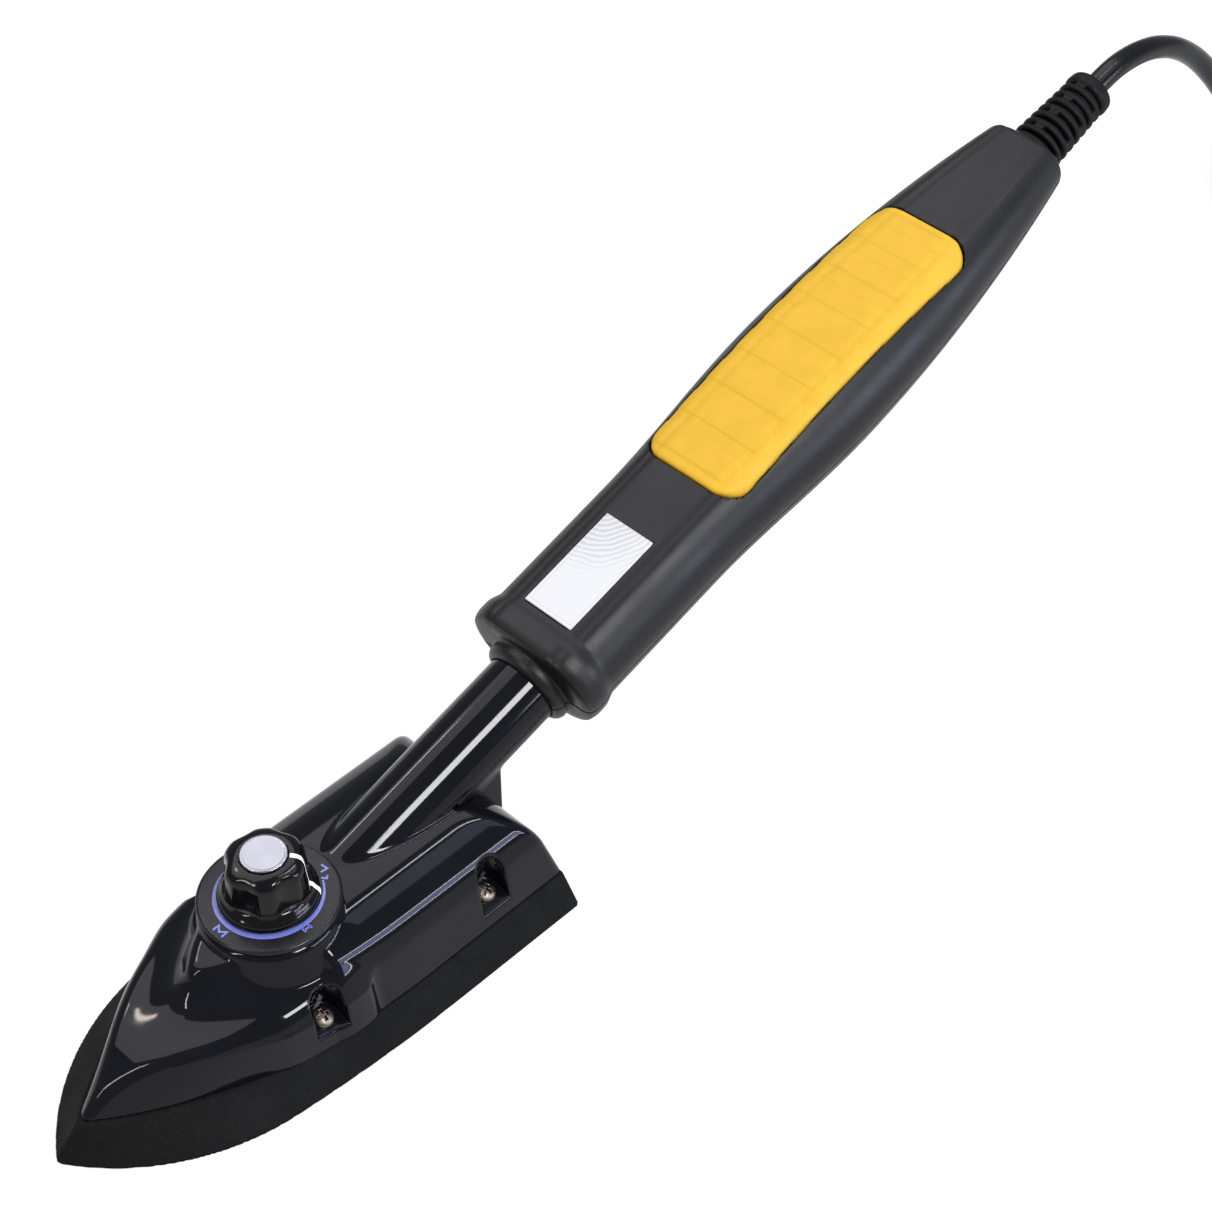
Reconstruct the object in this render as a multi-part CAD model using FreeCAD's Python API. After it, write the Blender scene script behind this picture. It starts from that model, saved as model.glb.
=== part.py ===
import FreeCAD, Part
import math
import os
from FreeCAD import Vector

# Sealing iron: a shoe shaped heated sole, a hooded head with a thermostat knob,
# a slanting neck and a long two half handle with its cord and plug.
# Millimetres. The origin lies on the sole's working face, straight below the knob's axis.
# X runs back towards the handle, Z up, and the part is symmetric about the plane Y = 0.

# Sole plate
sole_height = 7.0
sole_tip_x = -57.5
sole_rear_x = 58.3
sole_half_width = 27.7
sole_widest_x = 25.0
sole_side_radius = 385.0
sole_join_x = -18.0
# Upper edge of the sole's flared flank
flank_tip_x = -50.3
flank_rear_x = 58.0
flank_half_width = 22.7
flank_widest_x = 20.0
flank_side_radius = 150.0
flank_join_x = -8.5

# Head cover
cover_wall = 1.8
cover_rim_step = 0.3
nose_inset_share = 2.0
shoulder_z = 21.3
shoulder_tip_x = -39.0
shoulder_half_width = 20.2
shoulder_side_radius = 218.0
shoulder_join_x = -8.0
deck_front_x = -46.0
deck_front_z = 11.5
deck_middle_x = -38.0
deck_middle_z = 16.3
deck_bow_x = -28.0
deck_bow_z = 18.6
saddle_half_width = 8.7
saddle_z = 29.3
saddle_start_x = 2.0
gable_inset_share = 0.3
rear_top_x = 36.0
rear_lean = 3.0
rear_round_z = 17.5
rear_bulge = 4.0
hump_foot_tip_x = -33.0
hump_foot_half_width = 16.6
hump_foot_bulge = 5.2
hump_foot_z = 17.0
hump_waist_tip_x = -25.4
hump_waist_half_width = 13.2
hump_waist_bulge = 4.2
hump_waist_z = 20.8
hump_top_tip_x = -20.8
hump_top_half_width = 9.8
hump_top_bulge = 1.4
hump_fall = 5.8
hump_inset_share = 1.6
boss_base_radius = 17.4
boss_base_z = 18.5
boss_rim_radius = 13.8

# Cover screws, which lean outwards in open sided pockets with a ledge
front_screw_x = -3.9
rear_screw_x = 40.1
pocket_y = 18.0
pocket_floor_z = 12.1
pocket_lean = 20.0
pocket_radius = 3.8
pocket_wall = 1.3
ledge_reach = 3.0
ledge_edge = 0.8
ledge_drop = 5.0
post_depth = 3.0
post_radius = 2.9
cover_screw_length = 10.2
screw_radius = 1.5
screw_head_radius = 2.5
screw_head_height = 1.7
screw_clearance = 0.2
thread_clearance = 0.05
base_screw_tip_z = 2.5
slot_width = 0.7
slot_depth = 0.8

# Dial and knob
dial_z = 31.3
dial_radius = 14.4
dial_thickness = 1.2
dial_rim = 0.5
knob_gap = 0.4
skirt_radius = 10.0
skirt_height = 2.4
skirt_edge_share = 0.7
skirt_slope_rise = 0.8
knob_radius = 7.9
knob_draft = 0.3
knob_height = 11.6
knob_wall = 1.4
flute_count = 6
flute_radius = 4.0
flute_depth = 0.8
flute_phase = 26.0
cap_radius = 4.75
cap_thickness = 0.9
cap_proud = 0.5
bush_radius = 3.9
bush_height = 8.0
bush_fit = 0.02
clip_thickness = 0.4
clip_width = 3.0
spindle_radius = 2.5
spindle_flat = 0.6
running_gap = 0.05
spindle_hole_radius = 3.6

# Heating element and shield
element_radius = 3.0
element_leg_y = 9.0
element_rear_x = 36.0
element_front_x = -20.0
element_gap = 0.05
bead_radius = 2.0
bead_length = 2.5
pin_radius = 0.9
pin_length = 4.0
pin_rise = 2.6
shield_gap = 0.6
shield_thickness = 0.5
shield_inset = 0.8
shield_rear_x = 35.0
shield_window_margin = 6.0
shield_clearance = 0.4

# Thermostat stack, from the sole upwards
stack_x = 14.0
stack_radius = 4.0
base_length = 38.0
base_width = 10.0
base_thickness = 1.0
bimetal_thickness = 0.8
leaf_width = 6.0
leaf_thickness = 0.5
lower_washer = 2.5
middle_washer = 3.0
upper_washer = 2.5
bridge_thickness = 1.0
bridge_width = 11.0
rivet_radius = 1.5
rivet_head = 0.9
contact_radius = 1.3
contact_height = 0.8
contact_x = -6.0
arm_hinge_x = 9.0
arm_tip_x = -8.5
nut_radius = 4.5
nut_height = 5.0
follower_radius = 1.3
follower_travel = 0.8
follower_rest_gap = 0.05
follower_grip = 2.6
follower_tip_radius = 0.4
follower_tip_length = 1.0
front_base_screw_x = -9.0
rear_base_screw_x = 23.0
leaf_tab_length = 6.0

# Thermal fuse and wires
fuse_radius = 1.9
fuse_x = 27.0
fuse_length = 8.0
fuse_lead = 1.5
link_radius = 0.6
wire_radius = 1.1
wire_spread = 2.4

# Neck: its axis climbs from the head to the handle
pole_pitch = 17.8
pole_x = 77.0
pole_z = 40.2
neck_radius = 8.25
neck_wall = 1.6
neck_start = -66.0
neck_tail = 14.0
neck_fit = 0.1
neck_rib_radius = 10.3
neck_rib_start = 9.0
neck_rib_width = 3.0
web_front_x = 43.0
web_rear_x = 56.6
web_half_width = 6.8
web_fit = 0.2

# Handle, along the pole axis from the collar
collar_start = -8.0
collar_ring_radius = 10.4
collar_ring_width = 4.0
flange_start = -4.6
flange_width = 7.4
flange_grow = 0.9
handle_length = 161.0
handle_wall = 2.2
front_half_width = 15.8
grip_half_width = 18.4
tail_half_width = 9.8
front_top = 12.7
grip_top = 13.6
tail_top = 8.4
front_depth = 10.0
grip_depth = 11.4
tail_depth = 6.4
facet_half_width = 8.6
tail_facet_half_width = 4.6
waist_s = 35.0
grip_s = 84.0
waist_steps = 4
tail_steps = 6
station_gap = 6.0
tail_power = 1.9
upper_knee_out = 0.80
upper_knee_up = 0.66
lower_knee_out = 0.76
lower_knee_down = 0.68
nose_block = 17.0
tail_block = 15.0
handle_screw_front_s = 27.0
handle_screw_inset = 30.0
handle_screw_front_y = 9.0
handle_screw_rear_y = 8.6
handle_post_radius = 3.4
handle_screw_seat = 5.0
handle_screw_reach = 6.0

# Grip pad and name plate
pad_start = 46.5
pad_inset = 34.2
pad_half_width = 13.0
pad_corner = 6.0
pad_thickness = 1.8
pad_proud = 0.3
pad_gap = 0.1
plate_start = 4.2
plate_length = 25.6
plate_half_width = 6.6
plate_thickness = 0.5
plate_proud = 0.1

# Terminal block and cable clamp inside the handle
block_s = 92.0
block_length = 16.0
block_width = 16.0
block_height = 9.0
block_floor = -6.0
block_screw_radius = 1.6
clamp_inset = 21.0
clamp_length = 6.0
clamp_width = 16.0
clamp_height = 3.0
clamp_screw_y = 5.6
clamp_post_radius = 2.6
wire_way_radius = 3.2

# Strain relief
relief_insertion = 9.0
relief_length = 23.5
relief_radius = 6.4
relief_tip_radius = 5.3
relief_core = 4.2
relief_neck_radius = 4.4
relief_rings = 8
relief_ring_share = 0.5
relief_tip_length = 3.4
relief_collar_radius = 6.0
relief_collar_width = 3.0
relief_tab_width = 2.2

# Cord, coil, tie and plug
cord_radius = 2.7
cord_bore_gap = 0.15
core_spread = 1.3
coil_pitch = 6.0
coil_layer_pitch = 6.0
coil_outer_radius = 25.5
coil_turn_halves = 3
coil_layer_pairs = 2
coil_straight = 22.0
coil_reach = 135.3
coil_centre_y = -6.5
coil_floor = 1.4
lead_under = 22.0
lead_level = 12.0
lead_slope = 16.0
lead_shift = 4.0
lead_rise = 6.0
lead_end = 12.0
tie_width = 9.0
tie_thickness = 1.0
tie_gap = 0.2
plug_length = 34.0
plug_width = 23.0
plug_height = 19.0
plug_neck_length = 12.0
plug_neck_radius = 5.0
blade_spacing = 12.7
blade_width = 6.35
blade_thickness = 1.5
blade_length = 15.9
blade_root = 8.0

# Worked out from the sizes above
handle_screw_rear_s = handle_length - handle_screw_inset
pad_end = handle_length - pad_inset
clamp_s = handle_length - clamp_inset
relief_root = handle_length - relief_insertion
relief_end = handle_length + relief_length
pole_angle = math.radians(pole_pitch)
pole_origin = Vector(pole_x, 0, pole_z)
pole_direction = Vector(math.cos(pole_angle), 0, math.sin(pole_angle))
boss_top_z = dial_z - dial_thickness
knob_base_z = dial_z + knob_gap
knob_top_z = knob_base_z + knob_height
base_top_z = sole_height + base_thickness
bimetal_top_z = base_top_z + bimetal_thickness
leaf_z = bimetal_top_z + lower_washer
leaf_top_z = leaf_z + leaf_thickness
arm_z = leaf_top_z + middle_washer
arm_top_z = arm_z + leaf_thickness
bridge_z = arm_top_z + upper_washer
bridge_top_z = bridge_z + bridge_thickness
spindle_base_z = bridge_top_z + 0.2
bush_base_z = knob_base_z + skirt_height / 2
spindle_top_z = knob_base_z + bush_height - 0.5
shield_z = sole_height + element_radius + shield_gap
shank_radius = screw_radius - thread_clearance
pin_z = sole_height + pin_rise
pin_end_x = element_rear_x + bead_length + pin_length
tab_x = stack_x + stack_radius + leaf_tab_length
fuse_z = shield_z + shield_thickness + fuse_radius + 0.1
base_screw_places = (front_base_screw_x, rear_base_screw_x)
clamp_low = wire_radius + 0.3
core_y = wire_spread * 1.6
core_z = block_floor + 4.2
coil_centre_x = pole_x + relief_end * math.cos(pole_angle) + coil_reach
coil_top_z = coil_floor + cord_radius + (2 * coil_layer_pairs - 1) * coil_layer_pitch
pocket_places = [(x, side) for x in (front_screw_x, rear_screw_x) for side in (-1, 1)]
far = 400.0

pieces = {}


def keep(name, shape):
    pieces[name] = shape


def box(x0, x1, y0, y1, z0, z1):
    return Part.makeBox(x1 - x0, y1 - y0, z1 - z0, Vector(x0, y0, z0))


def rod(radius, x, y, z0, z1):
    return Part.makeCylinder(radius, z1 - z0, Vector(x, y, z0))


def rod_x(radius, x0, x1, y, z):
    return Part.makeCylinder(radius, x1 - x0, Vector(x0, y, z), Vector(1, 0, 0))


def line(a, b):
    return Part.LineSegment(a, b).toShape()


def arc(a, middle, b):
    return Part.Arc(a, middle, b).toShape()


def on_pole(shape):
    """Carry a shape drawn along +X at the origin onto the slanting pole axis."""
    turned = shape.copy()
    turned.rotate(Vector(0, 0, 0), Vector(0, 1, 0), -pole_pitch)
    turned.translate(pole_origin)
    return turned


def pole_point(s, y, n):
    up = Vector(-math.sin(pole_angle), 0, math.cos(pole_angle))
    return pole_origin + pole_direction * s + Vector(0, y, 0) + up * n


def side_prism(edges, half_width):
    """Sweep a closed outline in the plane Y = 0 to both sides."""
    face = Part.Face(Part.Wire(edges))
    face.translate(Vector(0, -half_width, 0))
    return face.extrude(Vector(0, 2 * half_width, 0))


def plan_wire(z, tip_x, join_x, side_radius, widest_x, half_width, rear_x):
    """Shoe outline: a nose arc and a side arc that meet in a tangent, then a straight flank."""
    side_centre = Vector(widest_x, half_width - side_radius, 0)
    reach = math.sqrt(side_radius ** 2 - (widest_x - join_x) ** 2)
    join = Vector(join_x, side_centre.y + reach, 0)
    inward = (side_centre - join).normalize()
    span = join - Vector(tip_x, 0, 0)
    nose_radius = -span.dot(span) / (2 * inward.dot(span))
    nose_centre = join + inward * nose_radius

    def on_circle(centre, radius, x):
        return Vector(x, centre.y + math.sqrt(radius ** 2 - (x - centre.x) ** 2), z)

    def flip(p):
        return Vector(p.x, -p.y, p.z)

    tip = Vector(tip_x, 0, z)
    nose_mid = on_circle(nose_centre, nose_radius, (tip_x + join_x) / 2)
    join_top = Vector(join.x, join.y, z)
    side_mid = on_circle(side_centre, side_radius, (join_x + widest_x) / 2)
    widest = Vector(widest_x, half_width, z)
    corner = Vector(rear_x, half_width, z)
    return Part.Wire([
        arc(tip, nose_mid, join_top),
        arc(join_top, side_mid, widest),
        line(widest, corner),
        line(corner, flip(corner)),
        line(flip(corner), flip(widest)),
        arc(flip(widest), flip(side_mid), flip(join_top)),
        arc(flip(join_top), flip(nose_mid), tip)])


def sole_wire(z):
    return plan_wire(z, sole_tip_x, sole_join_x, sole_side_radius, sole_widest_x,
                     sole_half_width, sole_rear_x)


def flank_wire(z, inset):
    tip_x = flank_tip_x + nose_inset_share * inset
    return plan_wire(z, tip_x, flank_join_x, flank_side_radius, flank_widest_x,
                     flank_half_width - inset, flank_rear_x - inset)


def shoulder_wire(z, inset):
    tip_x = shoulder_tip_x + nose_inset_share * inset
    return plan_wire(z, tip_x, shoulder_join_x, shoulder_side_radius, flank_widest_x,
                     shoulder_half_width - inset, flank_rear_x - inset)


def bow_wire(z, tip_x, half_width, bulge):
    """Plan of the hump in front of the dial: two bulging sides that meet in a tip."""
    tip = Vector(tip_x, 0, z)
    right = Vector(0, -half_width, z)
    left = Vector(0, half_width, z)
    outward = Vector(-half_width, -tip_x, 0).normalize()
    left_middle = (tip + left) * 0.5 + outward * bulge
    right_middle = Vector(left_middle.x, -left_middle.y, z)
    return Part.Wire([
        arc(right, right_middle, tip),
        arc(tip, left_middle, left),
        line(left, right)])


def deck_room(inset):
    """Space below the deck line, which rises over the nose in a soft bend and is level behind it."""
    start = Vector(deck_front_x + inset, 0, deck_front_z - inset)
    bend = Vector(deck_middle_x, 0, deck_middle_z - inset)
    bow = Vector(deck_bow_x, 0, deck_bow_z - inset)
    back = Vector(saddle_start_x, 0, shoulder_z - inset)
    rear = Vector(flank_rear_x, 0, shoulder_z - inset)
    foot = Vector(flank_rear_x, 0, sole_height)
    nose = Vector(flank_tip_x + nose_inset_share * inset, 0, sole_height)
    return side_prism([
        line(nose, start),
        arc(start, bend, bow),
        line(bow, back),
        line(back, rear),
        line(rear, foot),
        line(foot, nose)], sole_half_width)


def saddle(inset):
    """Ridge behind the dial, with flanks that slope down to the shoulder."""
    eave = shoulder_half_width - inset * gable_inset_share
    ridge = saddle_half_width - inset * gable_inset_share
    low_z = shoulder_z - inset
    top_z = saddle_z - inset
    corners = [(-eave, low_z), (-ridge, top_z), (ridge, top_z), (eave, low_z)]
    points = [Vector(saddle_start_x, y, z) for y, z in corners]
    gable = Part.Face(Part.makePolygon(points + points[:1]))
    plan = Part.Face(shoulder_wire(sole_height, inset)).extrude(Vector(0, 0, dial_z))
    return gable.extrude(Vector(flank_rear_x - saddle_start_x, 0, 0)).common(plan)


def dial_boss(inset):
    """Round boss that carries the dial."""
    return Part.makeCone(boss_base_radius - inset, boss_rim_radius - inset, boss_top_z - boss_base_z,
                         Vector(0, 0, boss_base_z - inset))


def hump(inset):
    """Bow shaped hump before the boss: flaring foot, steep sides and a top that falls to its tip."""
    levels = [(hump_foot_z - inset, hump_foot_tip_x, hump_foot_half_width, hump_foot_bulge),
              (hump_waist_z - inset, hump_waist_tip_x, hump_waist_half_width, hump_waist_bulge),
              (boss_top_z, hump_top_tip_x, hump_top_half_width, hump_top_bulge)]
    loops = [bow_wire(z, tip_x + inset * hump_inset_share, half_width - inset, bulge)
             for z, tip_x, half_width, bulge in levels]
    block = Part.makeLoft(loops, True, True)
    front_x = hump_foot_tip_x
    corners = [(front_x, 0), (front_x, boss_top_z - inset - hump_fall), (0, boss_top_z - inset), (0, 0)]
    points = [Vector(x, 0, z) for x, z in corners]
    edges = [line(p, q) for p, q in zip(points, points[1:] + points[:1])]
    return block.common(side_prism(edges, sole_half_width))


def rear_room(inset):
    """Side outline whose rear leans forward and rounds over into the saddle."""
    foot = Vector(flank_rear_x - inset, 0, sole_height)
    knee = Vector(flank_rear_x - rear_lean - inset, 0, rear_round_z)
    crown = Vector(rear_top_x, 0, saddle_z - inset)
    chord = crown - knee
    outward = Vector(chord.z, 0, -chord.x).normalize()
    bulge = (knee + crown) * 0.5 + outward * rear_bulge
    peak = Vector(boss_rim_radius, 0, dial_z + 1)
    front_top = Vector(sole_tip_x, 0, dial_z + 1)
    front_low = Vector(sole_tip_x, 0, sole_height)
    return side_prism([
        line(front_low, foot),
        line(foot, knee),
        arc(knee, bulge, crown),
        line(crown, peak),
        line(peak, front_top),
        line(front_top, front_low)], sole_half_width)


def head_form(inset):
    """Outer form of the head, or with an inset the hollow inside it."""
    low = flank_wire(sole_height, inset + cover_rim_step)
    hull = Part.makeLoft([low, shoulder_wire(shoulder_z, inset)], True, True)
    form = hull.common(deck_room(inset)).fuse([saddle(inset), dial_boss(inset), hump(inset)])
    return form.common(rear_room(inset)).removeSplitter()


def tube_along_pole(radius, s0, s1):
    return Part.makeCylinder(radius, s1 - s0, Vector(s0, 0, 0), Vector(1, 0, 0))


def upper_half():
    return box(-far, far, -far, far, 0, far)


def lower_half():
    return box(-far, far, -far, far, -far, 0)


def at_pocket(shape, x, side):
    """Place a shape drawn on the pocket's floor with +Y outwards into one of the four leaning pockets."""
    placed = shape.copy()
    placed.rotate(Vector(0, 0, 0), Vector(1, 0, 0), -pocket_lean)
    placed.translate(Vector(x, pocket_y, pocket_floor_z))
    if side < 0:
        placed = placed.mirror(Vector(0, 0, 0), Vector(0, 1, 0))
    return placed


def sole_plate():
    plate = Part.makeLoft([sole_wire(0), flank_wire(sole_height, 0)], True, True)
    plate = plate.cut(element_path(element_radius + element_gap))
    for x, side in pocket_places:
        plate = plate.cut(at_pocket(rod(screw_radius, 0, 0, -cover_screw_length - 0.5, 0), x, side))
    for x in base_screw_places:
        plate = plate.cut(rod(screw_radius, x, 0, base_screw_tip_z - 0.5, sole_height + 1))
    return plate


def element_path(radius):
    """U shaped rod: two legs and a half circle in front, on the sole's upper face."""
    z = sole_height
    legs = [rod_x(radius, element_front_x, element_rear_x, side * element_leg_y, z) for side in (-1, 1)]
    bend = Part.makeTorus(element_leg_y, radius, Vector(element_front_x, 0, z))
    bend = bend.common(box(-far, element_front_x, -far, far, -far, far))
    return legs[0].fuse([legs[1], bend]).removeSplitter()


def heater_beads():
    beads = []
    for side in (-1, 1):
        y = side * element_leg_y
        bead = rod_x(bead_radius, element_rear_x, element_rear_x + bead_length, y, pin_z)
        beads.append(bead.cut(rod_x(pin_radius, 0, far, y, pin_z)))
    return Part.makeCompound(beads)


def heater_pins():
    return Part.makeCompound([rod_x(pin_radius, element_rear_x, pin_end_x, side * element_leg_y, pin_z)
                              for side in (-1, 1)])


def heat_shield():
    """Sheet that follows the inside of the cover, with a window for the thermostat."""
    layer = box(-far, shield_rear_x, -far, far, shield_z, shield_z + shield_thickness)
    sheet = head_form(cover_wall + shield_inset).common(layer)
    hole = rod(pocket_radius + pocket_wall + shield_clearance, 0, 0, -far, far)
    for x, side in pocket_places:
        sheet = sheet.cut(at_pocket(hole, x, side))
    margin = shield_window_margin
    half = base_width / 2 + 1.5
    window = box(front_base_screw_x - margin, tab_x + 2.5, -half, half, 0, far)
    return sheet.cut(window).removeSplitter()


def head_cover():
    outer = head_form(0)
    shell = outer.cut(head_form(cover_wall))
    for x, side in pocket_places:
        post = rod(pocket_radius + pocket_wall, 0, 0, -post_depth, far).fuse(rod(post_radius, 0, 0, -far, 0))
        shell = shell.fuse([at_pocket(post, x, side).common(outer), at_pocket(ledge(), x, side)])
    # Upper half of the neck grows out of the saddle
    half_tube = tube_along_pole(neck_radius, neck_start, neck_tail)
    rib = tube_along_pole(neck_rib_radius, neck_rib_start, neck_rib_start + neck_rib_width)
    half_tube = on_pole(half_tube.fuse(rib).common(upper_half()))
    above = box(-far, far, -far, far, saddle_z - cover_wall, far)
    shell = shell.fuse(half_tube.common(above))
    shell = shell.cut(on_pole(tube_along_pole(neck_radius - neck_wall, neck_start + 6, neck_tail + 1)))
    # Room for the lower half of the neck and its web
    room_half = web_half_width + web_fit
    web_room = box(web_front_x - web_fit, far, -room_half, room_half, -1, far)
    tube_room = on_pole(tube_along_pole(neck_radius + web_fit, neck_start, neck_tail + 1))
    tube_room = tube_room.common(box(web_front_x - web_fit, far, -far, far, -far, far))
    keep_top = on_pole(box(-far, far, -far, far, 0, far))
    shell = shell.cut(web_room.fuse(tube_room).cut(keep_top))
    shell = shell.cut(rod(spindle_hole_radius, 0, 0, shoulder_z, dial_z + 1))
    room = rod(pocket_radius, 0, 0, 0, far).fuse(box(-pocket_radius, pocket_radius, 0, far, 0, far))
    hole = rod(screw_radius + screw_clearance, 0, 0, -far, far)
    for x, side in pocket_places:
        shell = shell.cut(at_pocket(room.fuse(hole), x, side))
    return shell.removeSplitter()


def ledge():
    """Small wedge outside the wall that carries the pocket's floor out to a straight lip."""
    corners = [(0, 0), (ledge_reach, 0), (ledge_reach, -ledge_edge), (0, -ledge_drop)]
    points = [Vector(-pocket_radius, y, z) for y, z in corners]
    profile = Part.Face(Part.makePolygon(points + points[:1]))
    return profile.extrude(Vector(2 * pocket_radius, 0, 0))


def neck_base():
    """Lower half of the neck with the web that stands on the sole behind the cover."""
    tube = tube_along_pole(neck_radius, neck_start + 25, neck_tail)
    rib = tube_along_pole(neck_rib_radius, neck_rib_start, neck_rib_start + neck_rib_width)
    half = on_pole(tube.fuse(rib).common(lower_half()))
    web = box(web_front_x, web_rear_x, -web_half_width, web_half_width, sole_height, far)
    web = web.common(on_pole(lower_half()))
    form = half.fuse(web)
    form = form.cut(on_pole(tube_along_pole(neck_radius - neck_wall, -far, far)))
    inner = web_half_width - neck_wall
    hollow = box(web_front_x - 1, web_rear_x - neck_wall, -inner, inner, sole_height - 1, far)
    form = form.cut(hollow.common(on_pole(lower_half())))
    form = form.cut(box(-far, web_front_x, -far, far, -far, far))
    return form.removeSplitter()


def pan_screw(x, y, seat_z, tip_z, radius):
    head = rod(screw_head_radius, x, y, seat_z, seat_z + screw_head_height)
    head = head.makeFillet(screw_head_height * 0.4, [head.Edges[0]])
    top = seat_z + screw_head_height
    long_half = screw_head_radius * 0.6
    short_half = slot_width / 2
    for dx, dy in ((long_half, short_half), (short_half, long_half)):
        head = head.cut(box(x - dx, x + dx, y - dy, y + dy, top - slot_depth, top + 1))
    return head.fuse(rod(radius, x, y, tip_z, seat_z)).removeSplitter()


def cover_screws():
    screw = pan_screw(0, 0, 0, -cover_screw_length, shank_radius)
    return Part.makeCompound([at_pocket(screw, x, side) for x, side in pocket_places])


def dial_plate():
    bevel = dial_rim * 0.6
    low = Part.makeCone(dial_radius - bevel, dial_radius, bevel, Vector(0, 0, boss_top_z))
    disc = rod(dial_radius, 0, 0, boss_top_z + bevel, dial_z - bevel)
    top = Part.makeCone(dial_radius, dial_radius - dial_rim, bevel, Vector(0, 0, dial_z - bevel))
    plate = low.fuse([disc, top]).removeSplitter()
    return plate.cut(rod(spindle_hole_radius, 0, 0, 0, far))


def knob_body():
    """Knob with a skirt, a fluted grip and a recess for its cap."""
    edge_z = knob_base_z + skirt_height * skirt_edge_share
    foot_z = knob_base_z + skirt_height + skirt_slope_rise
    skirt = rod(skirt_radius, 0, 0, knob_base_z, edge_z)
    slope = Part.makeCone(skirt_radius, knob_radius + 2 * knob_draft, foot_z - edge_z, Vector(0, 0, edge_z))
    grip = Part.makeCone(knob_radius + knob_draft, knob_radius, knob_top_z - foot_z, Vector(0, 0, foot_z))
    body = skirt.fuse([slope, grip])
    reach = knob_radius - flute_depth + flute_radius
    for i in range(flute_count):
        angle = 2 * math.pi * i / flute_count + math.radians(flute_phase)
        x = reach * math.cos(angle)
        y = reach * math.sin(angle)
        body = body.cut(rod(flute_radius, x, y, foot_z + flute_depth, knob_top_z + 1))
    body = body.cut(rod(skirt_radius - knob_wall, 0, 0, 0, bush_base_z))
    body = body.cut(rod(bush_radius, 0, 0, 0, knob_base_z + bush_height))
    return body.cut(rod(cap_radius + running_gap, 0, 0, knob_top_z - cap_thickness + cap_proud, far))


def knob_cap():
    top = knob_top_z + cap_proud
    cap = rod(cap_radius, 0, 0, top - cap_thickness, top)
    return cap.makeFillet(0.25, [cap.Edges[0]])


def knob_bush():
    bush = rod(bush_radius, 0, 0, bush_base_z, knob_base_z + bush_height)
    return bush.cut(rod(spindle_radius + bush_fit, 0, 0, 0, far))


def thermostat_spindle():
    """Shaft with a flat for the knob and a bore for the pin it pushes."""
    shaft = rod(spindle_radius, 0, 0, spindle_base_z, spindle_top_z)
    shaft = shaft.cut(box(spindle_radius - spindle_flat, far, -far, far, bush_base_z, far))
    bore_top = spindle_base_z + follower_travel + follower_grip
    return shaft.cut(rod(follower_radius + running_gap, 0, 0, 0, bore_top))


def knob_clip():
    """Leaf spring pushed between the spindle's flat and the bush, which holds the knob on."""
    x0 = spindle_radius - spindle_flat + bush_fit
    leaf = box(x0, x0 + clip_thickness, -clip_width / 2, clip_width / 2, bush_base_z + 0.5, spindle_top_z)
    return leaf.common(rod(spindle_radius, 0, 0, 0, far))


def stack_washer(z0, height):
    ring = rod(stack_radius, stack_x, 0, z0, z0 + height)
    return ring.cut(rod(rivet_radius, stack_x, 0, 0, far))


def ceramic_washers():
    return Part.makeCompound([
        stack_washer(bimetal_top_z, lower_washer),
        stack_washer(leaf_top_z, middle_washer),
        stack_washer(arm_top_z, upper_washer)])


def thermostat_base():
    middle = (front_base_screw_x + rear_base_screw_x) / 2
    half = base_length / 2
    plate = box(middle - half, middle + half, -base_width / 2, base_width / 2, sole_height, base_top_z)
    plate = plate.cut(rod(rivet_radius, stack_x, 0, 0, far))
    for x in base_screw_places:
        plate = plate.cut(rod(screw_radius + screw_clearance, x, 0, 0, far))
    return plate


def thermostat_screws():
    screws = []
    for x in base_screw_places:
        head = rod(screw_head_radius - 0.3, x, 0, base_top_z, base_top_z + 1.2)
        head = head.cut(box(x - 2, x + 2, -slot_width / 2, slot_width / 2, base_top_z + 0.6, far))
        screws.append(head.fuse(rod(shank_radius, x, 0, base_screw_tip_z, base_top_z)).removeSplitter())
    return Part.makeCompound(screws)


def bimetal_strip():
    x1 = stack_x + stack_radius
    x0 = front_base_screw_x + screw_head_radius + 0.5
    strip = box(x0, x1, -leaf_width / 2, leaf_width / 2, base_top_z, bimetal_top_z)
    return strip.cut(rod(rivet_radius, stack_x, 0, 0, far))


def fixed_leaf():
    leaf = box(contact_x - 2.5, tab_x, -leaf_width / 2, leaf_width / 2, leaf_z, leaf_top_z)
    leaf = leaf.cut(rod(rivet_radius, stack_x, 0, 0, far))
    contact = rod(contact_radius, contact_x, 0, leaf_top_z, leaf_top_z + contact_height)
    return leaf.fuse(contact).removeSplitter()


def arm_root():
    """Clamped end of the spring arm, with its terminal tab behind the stack."""
    root = box(arm_hinge_x + 0.3, tab_x, -leaf_width / 2, leaf_width / 2, arm_z, arm_top_z)
    return root.cut(rod(rivet_radius, stack_x, 0, 0, far))


def contact_arm():
    arm = box(arm_tip_x, arm_hinge_x, -leaf_width / 2, leaf_width / 2, arm_z, arm_top_z)
    contact = rod(contact_radius, contact_x, 0, arm_z - contact_height, arm_z)
    return arm.fuse(contact).removeSplitter()


def thermostat_bridge():
    x1 = stack_x + stack_radius
    bridge = box(-nut_radius, x1, -bridge_width / 2, bridge_width / 2, bridge_z, bridge_top_z)
    bridge = bridge.cut(rod(rivet_radius, stack_x, 0, 0, far))
    return bridge.cut(rod(follower_radius + 0.3, 0, 0, 0, far))


def spindle_nut():
    """Threaded bush on the bridge, in which the spindle turns."""
    nut = rod(nut_radius, 0, 0, bridge_top_z, bridge_top_z + nut_height)
    return nut.cut(rod(spindle_radius + running_gap, 0, 0, 0, far))


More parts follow.
